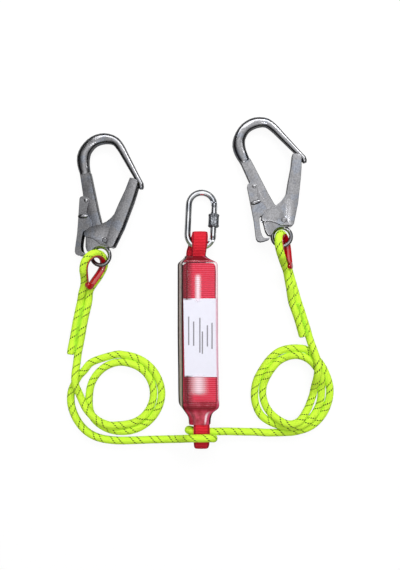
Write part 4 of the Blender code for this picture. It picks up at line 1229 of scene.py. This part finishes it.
# %% The label
LABEL_CORNERS = [(-9.4, -149.0), (45.2, -149.0), (43.0, -22.9), (-11.6, -22.9)]
LABEL_SPAN = (35.0, 35.5)
rings = [[(x, y, height) for x, y in LABEL_CORNERS] for height in LABEL_SPAN]
sheet = sheet_of(LABEL_SPAN, range(len(LABEL_CORNERS)))
printed = ringed_piece("printed_label", rings, sheet, 0.0, "label", 40.0)
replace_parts(printed, "label")
print("label with", len(printed.data.polygons), "faces")

# %% [markdown]
# The film is shrunk over the pack, so it is round at every edge and gathers into a neck at each end,
# where it falls into small folds. Cloth simulation could shrink a tube over the pack, but it takes
# minutes and rarely ends at the same place twice. Here the film is a row of rounded oblongs with a
# wave on them that grows into the necks.

# %% Film
# Each station: its place along the pack, then the film's middle, half width, underside, top, corner
# radius and lean there.
FILM_STATIONS = [
    (46.6, 7.6, 16.0, 9.0, 26.8, 6.0, 0.10), (42.5, 7.9, 18.0, 5.4, 31.2, 5.0, 0.20),
    (38.4, 9.2, 23.0, 2.0, 34.2, 3.4, 0.26), (36.0, 10.2, 27.3, 0.6, 35.4, 2.2, 0.27),
    (33.0, 10.7, 28.5, 0.3, 36.0, 1.8, 0.27), (-84.0, 10.9, 28.7, 0.3, 36.0, 1.6, 0.27),
    (-150.0, 11.9, 28.9, 0.3, 36.0, 1.8, 0.27), (-178.0, 12.3, 29.1, 0.3, 36.0, 1.8, 0.27),
    (-196.0, 12.8, 29.2, 0.4, 35.8, 2.4, 0.27), (-200.5, 12.8, 28.6, 1.2, 35.5, 3.6, 0.26),
    (-203.5, 12.4, 26.4, 3.2, 35.0, 4.6, 0.20), (-206.5, 12.1, 22.8, 5.4, 34.6, 5.4, 0.15),
    (-211.0, 13.2, 20.2, 8.0, 34.0, 6.0, 0.08), (-216.0, 14.5, 18.2, 9.8, 33.4, 6.0, 0.04),
    (-222.0, 14.6, 17.4, 10.6, 32.9, 6.0, 0.02), (-227.0, 14.6, 17.0, 11.0, 32.6, 6.0, 0.0),
]
FILM_STEP = 1.5
FILM_SIDES = 8.0
FILM_FLOOR = 0.1
SIDE_POINTS = 7
FOLDS = 11
FOLD_DEPTH = 0.7
FOLD_TWIST = 0.15
# Where the folds start at the upper and the lower end, and over what length they grow.
FOLD_STARTS = (36.0, -204.0)
FOLD_GROWTH = (10.0, 22.0)


def film_ring(station, fold):
    """Points round a leaning rounded oblong, with the map's side number, from the upper right corner."""
    along, middle, half, low, high, corner, lean = station
    reach, top, bottom = half - corner, high - corner, low + corner
    centres = [(reach, top), (-reach, top), (-reach, bottom), (reach, bottom)]
    points, sides = [], []
    for quarter, (at_x, at_z) in enumerate(centres):
        share = np.linspace(0, 1, SIDE_POINTS)
        angles = math.pi / 2 * (quarter + share)
        points.extend(zip(at_x + corner * np.cos(angles), at_z + corner * np.sin(angles)))
        sides.extend(2 * quarter + share)
        after = centres[(quarter + 1) % 4]
        start, turn = np.array(points[-1]), math.pi / 2 * (quarter + 1)
        end = np.array((after[0] + corner * math.cos(turn), after[1] + corner * math.sin(turn)))
        for part in np.linspace(0, 1, SIDE_POINTS + 2)[1:-1]:
            points.append(tuple(start + (end - start) * part))
            sides.append(2 * quarter + 1 + part)
    flat = np.array(points)
    outward = flat - np.array((0.0, (low + high) / 2))
    outward /= np.linalg.norm(outward, axis=1)[:, None]
    wave = np.sin(np.array(sides) / FILM_SIDES * 2 * math.pi * FOLDS + along * FOLD_TWIST)
    flat = flat + outward * (wave * fold)[:, None]
    leant = middle + flat[:, 0] + lean * (flat[:, 1] - PACK_MIDDLE_HEIGHT)
    return np.column_stack([leant, np.full(len(flat), along), np.maximum(flat[:, 1], FILM_FLOOR)]), sides


def make_film():
    drawn = np.array(FILM_STATIONS)[::-1]
    stops = np.arange(drawn[0, 0], drawn[-1, 0], FILM_STEP)
    stations = np.column_stack([np.interp(stops, drawn[:, 0], column) for column in drawn.T])
    for _ in range(3):
        stations = eased_columns(stations)
    rings, sheet = [], []
    for station in stations:
        past_upper = (station[0] - FOLD_STARTS[0]) / FOLD_GROWTH[0]
        past_lower = (FOLD_STARTS[1] - station[0]) / FOLD_GROWTH[1]
        into_neck = min(1.0, max(0.0, past_upper, past_lower))
        ring, sides = film_ring(station, FOLD_DEPTH * into_neck)
        rings.append(ring)
        sheet.append([(station[0], side) for side in sides])
    return ringed_piece("shrunk_film", rings, sheet, FILM_SIDES, "film", 60.0)


film = make_film()
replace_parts(film, "shock_sleeve")
print("film with", len(film.data.polygons), "faces")

# %% [markdown]
# A thimble is a channel bent into a teardrop, with the rope in its groove and a solid tip where its
# two limbs meet. The channel is two arcs, an outer and an inner one, laid square to the rope's own
# line, so the groove fits the rope all the way round.

# %% Thimbles
GROOVE_RADIUS = ROPE_RADIUS + 0.4
THIMBLE_WALL = 1.1
THIMBLE_END = 35.2
THIMBLE_STEPS = 14
FLANGE_ANGLES = (-58.0, 74.0)
FLANGE_POINTS = 17
TIP_OUTLINE = [
    (4.4, -29.0), (7.4, -31.0), (7.3, -33.5), (6.5, -36.0), (5.1, -38.2), (3.1, -39.7),
    (1.0, -40.3),
]
# The tip's rounding: how wide it is, as a share, at each level over the eye's plane.
TIP_LEVELS = [
    (0.70, -4.0), (0.92, -2.0), (1.0, 1.0), (1.0, 5.2), (0.96, 6.6), (0.86, 7.4), (0.66, 7.8),
]


def make_thimble(side):
    stations = eye_stations(THIMBLE_STEPS)
    tangents = np.gradient(stations, axis=0)
    tangents /= np.linalg.norm(tangents, axis=1)[:, None]
    kept = stations[:, 1] > -THIMBLE_END
    turned = turn_of(THIMBLES[side][1])
    places = eye_places(side, stations[kept])
    angles = np.radians(np.linspace(*FLANGE_ANGLES, FLANGE_POINTS))
    rings = []
    for place, (along_u, along_v) in zip(places, tangents[kept]):
        inward = turned @ np.array((along_v, -along_u, 0.0))
        spokes = np.outer(np.cos(angles), inward) + np.outer(np.sin(angles), turned[:, 2])
        outer = place + (GROOVE_RADIUS + THIMBLE_WALL) * spokes
        inner = place + GROOVE_RADIUS * spokes[::-1]
        rings.append(np.vstack([outer, inner]))
    sheet = sheet_of(along_line(places), range(2 * FLANGE_POINTS))
    channel = ringed_piece(side + "_thimble_channel", rings, sheet, 0.0, "plastic", 50.0)
    outline = np.array(TIP_OUTLINE + [(-u, v) for u, v in reversed(TIP_OUTLINE)])
    middle = outline.mean(axis=0)
    rings = [eye_places(side, middle + (outline - middle) * share, level) for share, level in TIP_LEVELS]
    sheet = sheet_of([level for _, level in TIP_LEVELS], range(len(outline)))
    ringed_piece(side + "_thimble_tip", rings, sheet, 0.0, "plastic", 50.0)
    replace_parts(channel, side + "_thimble")


for side in THIMBLES:
    make_thimble(side)
print("two thimbles")

# %% [markdown]
# The lock lever is bent from plate, and its finger window is curved. A cut through a block would
# leave knife edges, so each cheek of the lever is an outline with its edges rounded step by step.
# Outlines are drawn from the gate's rivet, and the hook's own turn lays them in the scene.

# %% Plates on the hooks
# Each hook: where its eye lies, and its pitch, tilt and yaw in degrees.
HOOKS = {
    "left": ((-147.3, 46.3, 19.5), (-2.5, -6.0, 0.0)),
    "right": ((148.8, 77.6, 19.5), (-3.1, -3.0, 14.2)),
}
HOOK_EYE = (-9.5, -24.5, 0.0)
SHARPEST_CORNER = 0.6
EDGE_STEP = 0.3


def hook_places(side, points):
    """Points drawn from the gate's rivet, laid where the hook lies."""
    place, degrees = HOOKS[side]
    return (np.array(points, float) - HOOK_EYE) @ turn_of(degrees).T + np.array(place)


def inset(outline, depth):
    """The outline moved inwards by depth, corner by corner."""
    flat = np.array(outline, float)
    before, after = flat - np.roll(flat, 1, axis=0), np.roll(flat, -1, axis=0) - flat
    area = np.sum(flat[:, 0] * np.roll(flat[:, 1], -1) - flat[:, 1] * np.roll(flat[:, 0], -1))
    normals = []
    for first, second in zip(before, after):
        one = np.array((-first[1], first[0])) / np.linalg.norm(first)
        two = np.array((-second[1], second[0])) / np.linalg.norm(second)
        both = one + two
        normals.append(both / max(SHARPEST_CORNER, np.dot(both, both) / 2))
    return flat + math.copysign(depth, area) * np.array(normals)


def plate_piece(name, side, outline, low, high, edge, body):
    """A plate with rounded edges over an outline drawn from the gate's rivet."""
    rounding = ((edge, 0.0), (edge * EDGE_STEP, edge * EDGE_STEP), (0.0, edge))
    levels = [(depth, low + rise) for depth, rise in rounding]
    levels += [(depth, high - rise) for depth, rise in reversed(rounding)]
    rings = []
    for depth, height in levels:
        flat = inset(outline, depth)
        rings.append(hook_places(side, np.column_stack([flat, np.full(len(flat), height)])))
    sheet = sheet_of([height for _, height in levels], range(len(outline)))
    return ringed_piece(name, rings, sheet, 0.0, "forged steel", 20.0, body)


print("plates can be laid on", len(HOOKS), "hooks")

# %% [markdown]
# Each lever has two cheeks with a back between them, and a raised rib across each cheek. The rivet
# that holds the gate is a flat round plate, so the same helper draws it.

# %% Lock levers and rivets
LEVER_SPAN = (6.3, 7.8)
LEVER_EDGE = 0.25
LEVER_OUTLINE = [
    (-39.0, 73.2), (-42.4, 71.8), (-43.7, 69.3), (-45.4, 38.0), (-47.0, 12.4), (-50.4, -13.0),
    (-50.7, -18.0), (-49.2, -22.0), (-45.0, -24.4), (-38.0, -24.6), (-31.5, -24.0), (-29.4, -22.6),
    (-29.8, -21.2), (-34.0, -21.0), (-37.6, -19.6), (-39.8, -16.0), (-40.8, -10.0), (-40.4, -3.0),
    (-39.6, 3.0), (-38.8, 7.4), (-38.0, 11.4), (-37.0, 14.4), (-34.8, 16.2), (-31.0, 17.2),
    (-22.4, 17.5), (-21.9, 26.1), (-31.8, 46.2), (-28.7, 62.3), (-27.2, 66.0), (-28.7, 69.8),
    (-32.5, 71.3),
]
LEVER_BACK = [
    (-43.7, 69.3), (-45.4, 38.0), (-47.0, 12.4), (-50.4, -13.0), (-50.4, -18.0), (-48.9, -18.0),
    (-48.6, -13.0), (-45.2, 12.4), (-43.6, 38.0), (-41.9, 69.3),
]
BACK_EDGE = 0.3
BACK_SHORT = 0.4
RIB_LINE = [(-45.2, 39.6), (-28.8, 40.5)]
RIB_RADII = (1.8, 3.5, 3.7, 3.7, 3.5, 1.8)
RIB_SQUASH = 0.85
RIB_SIDES = 16
RIVET_HEAD = 3.6
RIVET_REACH = 10.7
RIVET_EDGE = 0.5
RIVET_SIDES = 24


def lever_rib(name, side, height, body):
    """A flattened bar across the lever, at a height from the hook's middle plane."""
    start, end = np.array(RIB_LINE)
    stops = np.linspace(0, 1, len(RIB_RADII))
    path = start + (end - start) * stops[:, None]
    path = np.column_stack([path, np.full(len(path), height)])
    rings = [hook_places(side, ring) for ring in round_rings(path, RIB_RADII, RIB_SIDES, RIB_SQUASH)]
    sheet = sheet_of(stops, circle_angles(RIB_SIDES))
    ringed_piece(name, rings, sheet, 2 * math.pi, "forged steel", 50.0, body)


def make_lever(side):
    body = side + "_lever_body"
    low, high = LEVER_SPAN
    cheek = plate_piece(side + "_lever_front", side, LEVER_OUTLINE, low, high, LEVER_EDGE, body)
    plate_piece(side + "_lever_rear", side, LEVER_OUTLINE, -high, -low, LEVER_EDGE, body)
    back_reach = high - BACK_SHORT
    plate_piece(side + "_lever_back", side, LEVER_BACK, -back_reach, back_reach, BACK_EDGE, body)
    lever_rib(side + "_lever_rib_front", side, high, body)
    lever_rib(side + "_lever_rib_rear", side, -high, body)
    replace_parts(cheek, side + "_lock_lever")


def make_rivet(side):
    angles = circle_angles(RIVET_SIDES)
    head = np.column_stack([np.cos(angles), np.sin(angles)]) * RIVET_HEAD
    name, body = side + "_flush_rivet", side + "_hook"
    rivet = plate_piece(name, side, head, -RIVET_REACH, RIVET_REACH, RIVET_EDGE, body)
    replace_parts(rivet, side + "_gate_rivet")


for side in HOOKS:
    make_lever(side)
    make_rivet(side)
print("two lock levers and the gates' rivets")

# %% [markdown]
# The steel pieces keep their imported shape. Their sharp edges would look cut from paper, so each is
# broken by a small round, which draws the thin bright lines along them. Modifiers do this without
# a change to the shape underneath: small faces are joined first, so that the round is clean.

# %% Edges on the steel
EDGE_ROUND = {"hook_body": 0.9, "gate": 0.8, "lever_rivet": 0.3}
EDGE_SEGMENTS = 3
SHARP_ANGLE = 38.0
LEVEL_ANGLE = 1.0
WELD_DISTANCE = 0.01


def round_edges(piece, width):
    weld = piece.modifiers.new("weld", "WELD")
    weld.merge_threshold = WELD_DISTANCE * MM
    level = piece.modifiers.new("flat faces", "DECIMATE")
    level.decimate_type = "DISSOLVE"
    level.angle_limit = math.radians(LEVEL_ANGLE)
    bevel = piece.modifiers.new("rounded edges", "BEVEL")
    bevel.width = width * MM
    bevel.segments = EDGE_SEGMENTS
    bevel.limit_method = "ANGLE"
    bevel.angle_limit = math.radians(SHARP_ANGLE)
    bevel.harden_normals = True


for name, piece in nodes.items():
    kind = name.split("_", 1)[1] if name.startswith(("left_", "right_")) else ""
    if kind in EDGE_ROUND:
        piece.data.shade_smooth()
        piece.data.set_sharp_from_angle(angle=math.radians(SHARP_ANGLE))
        round_edges(piece, EDGE_ROUND[kind])
print("rounded the edges of", sum(bool(piece.modifiers) for piece in nodes.values()), "pieces")
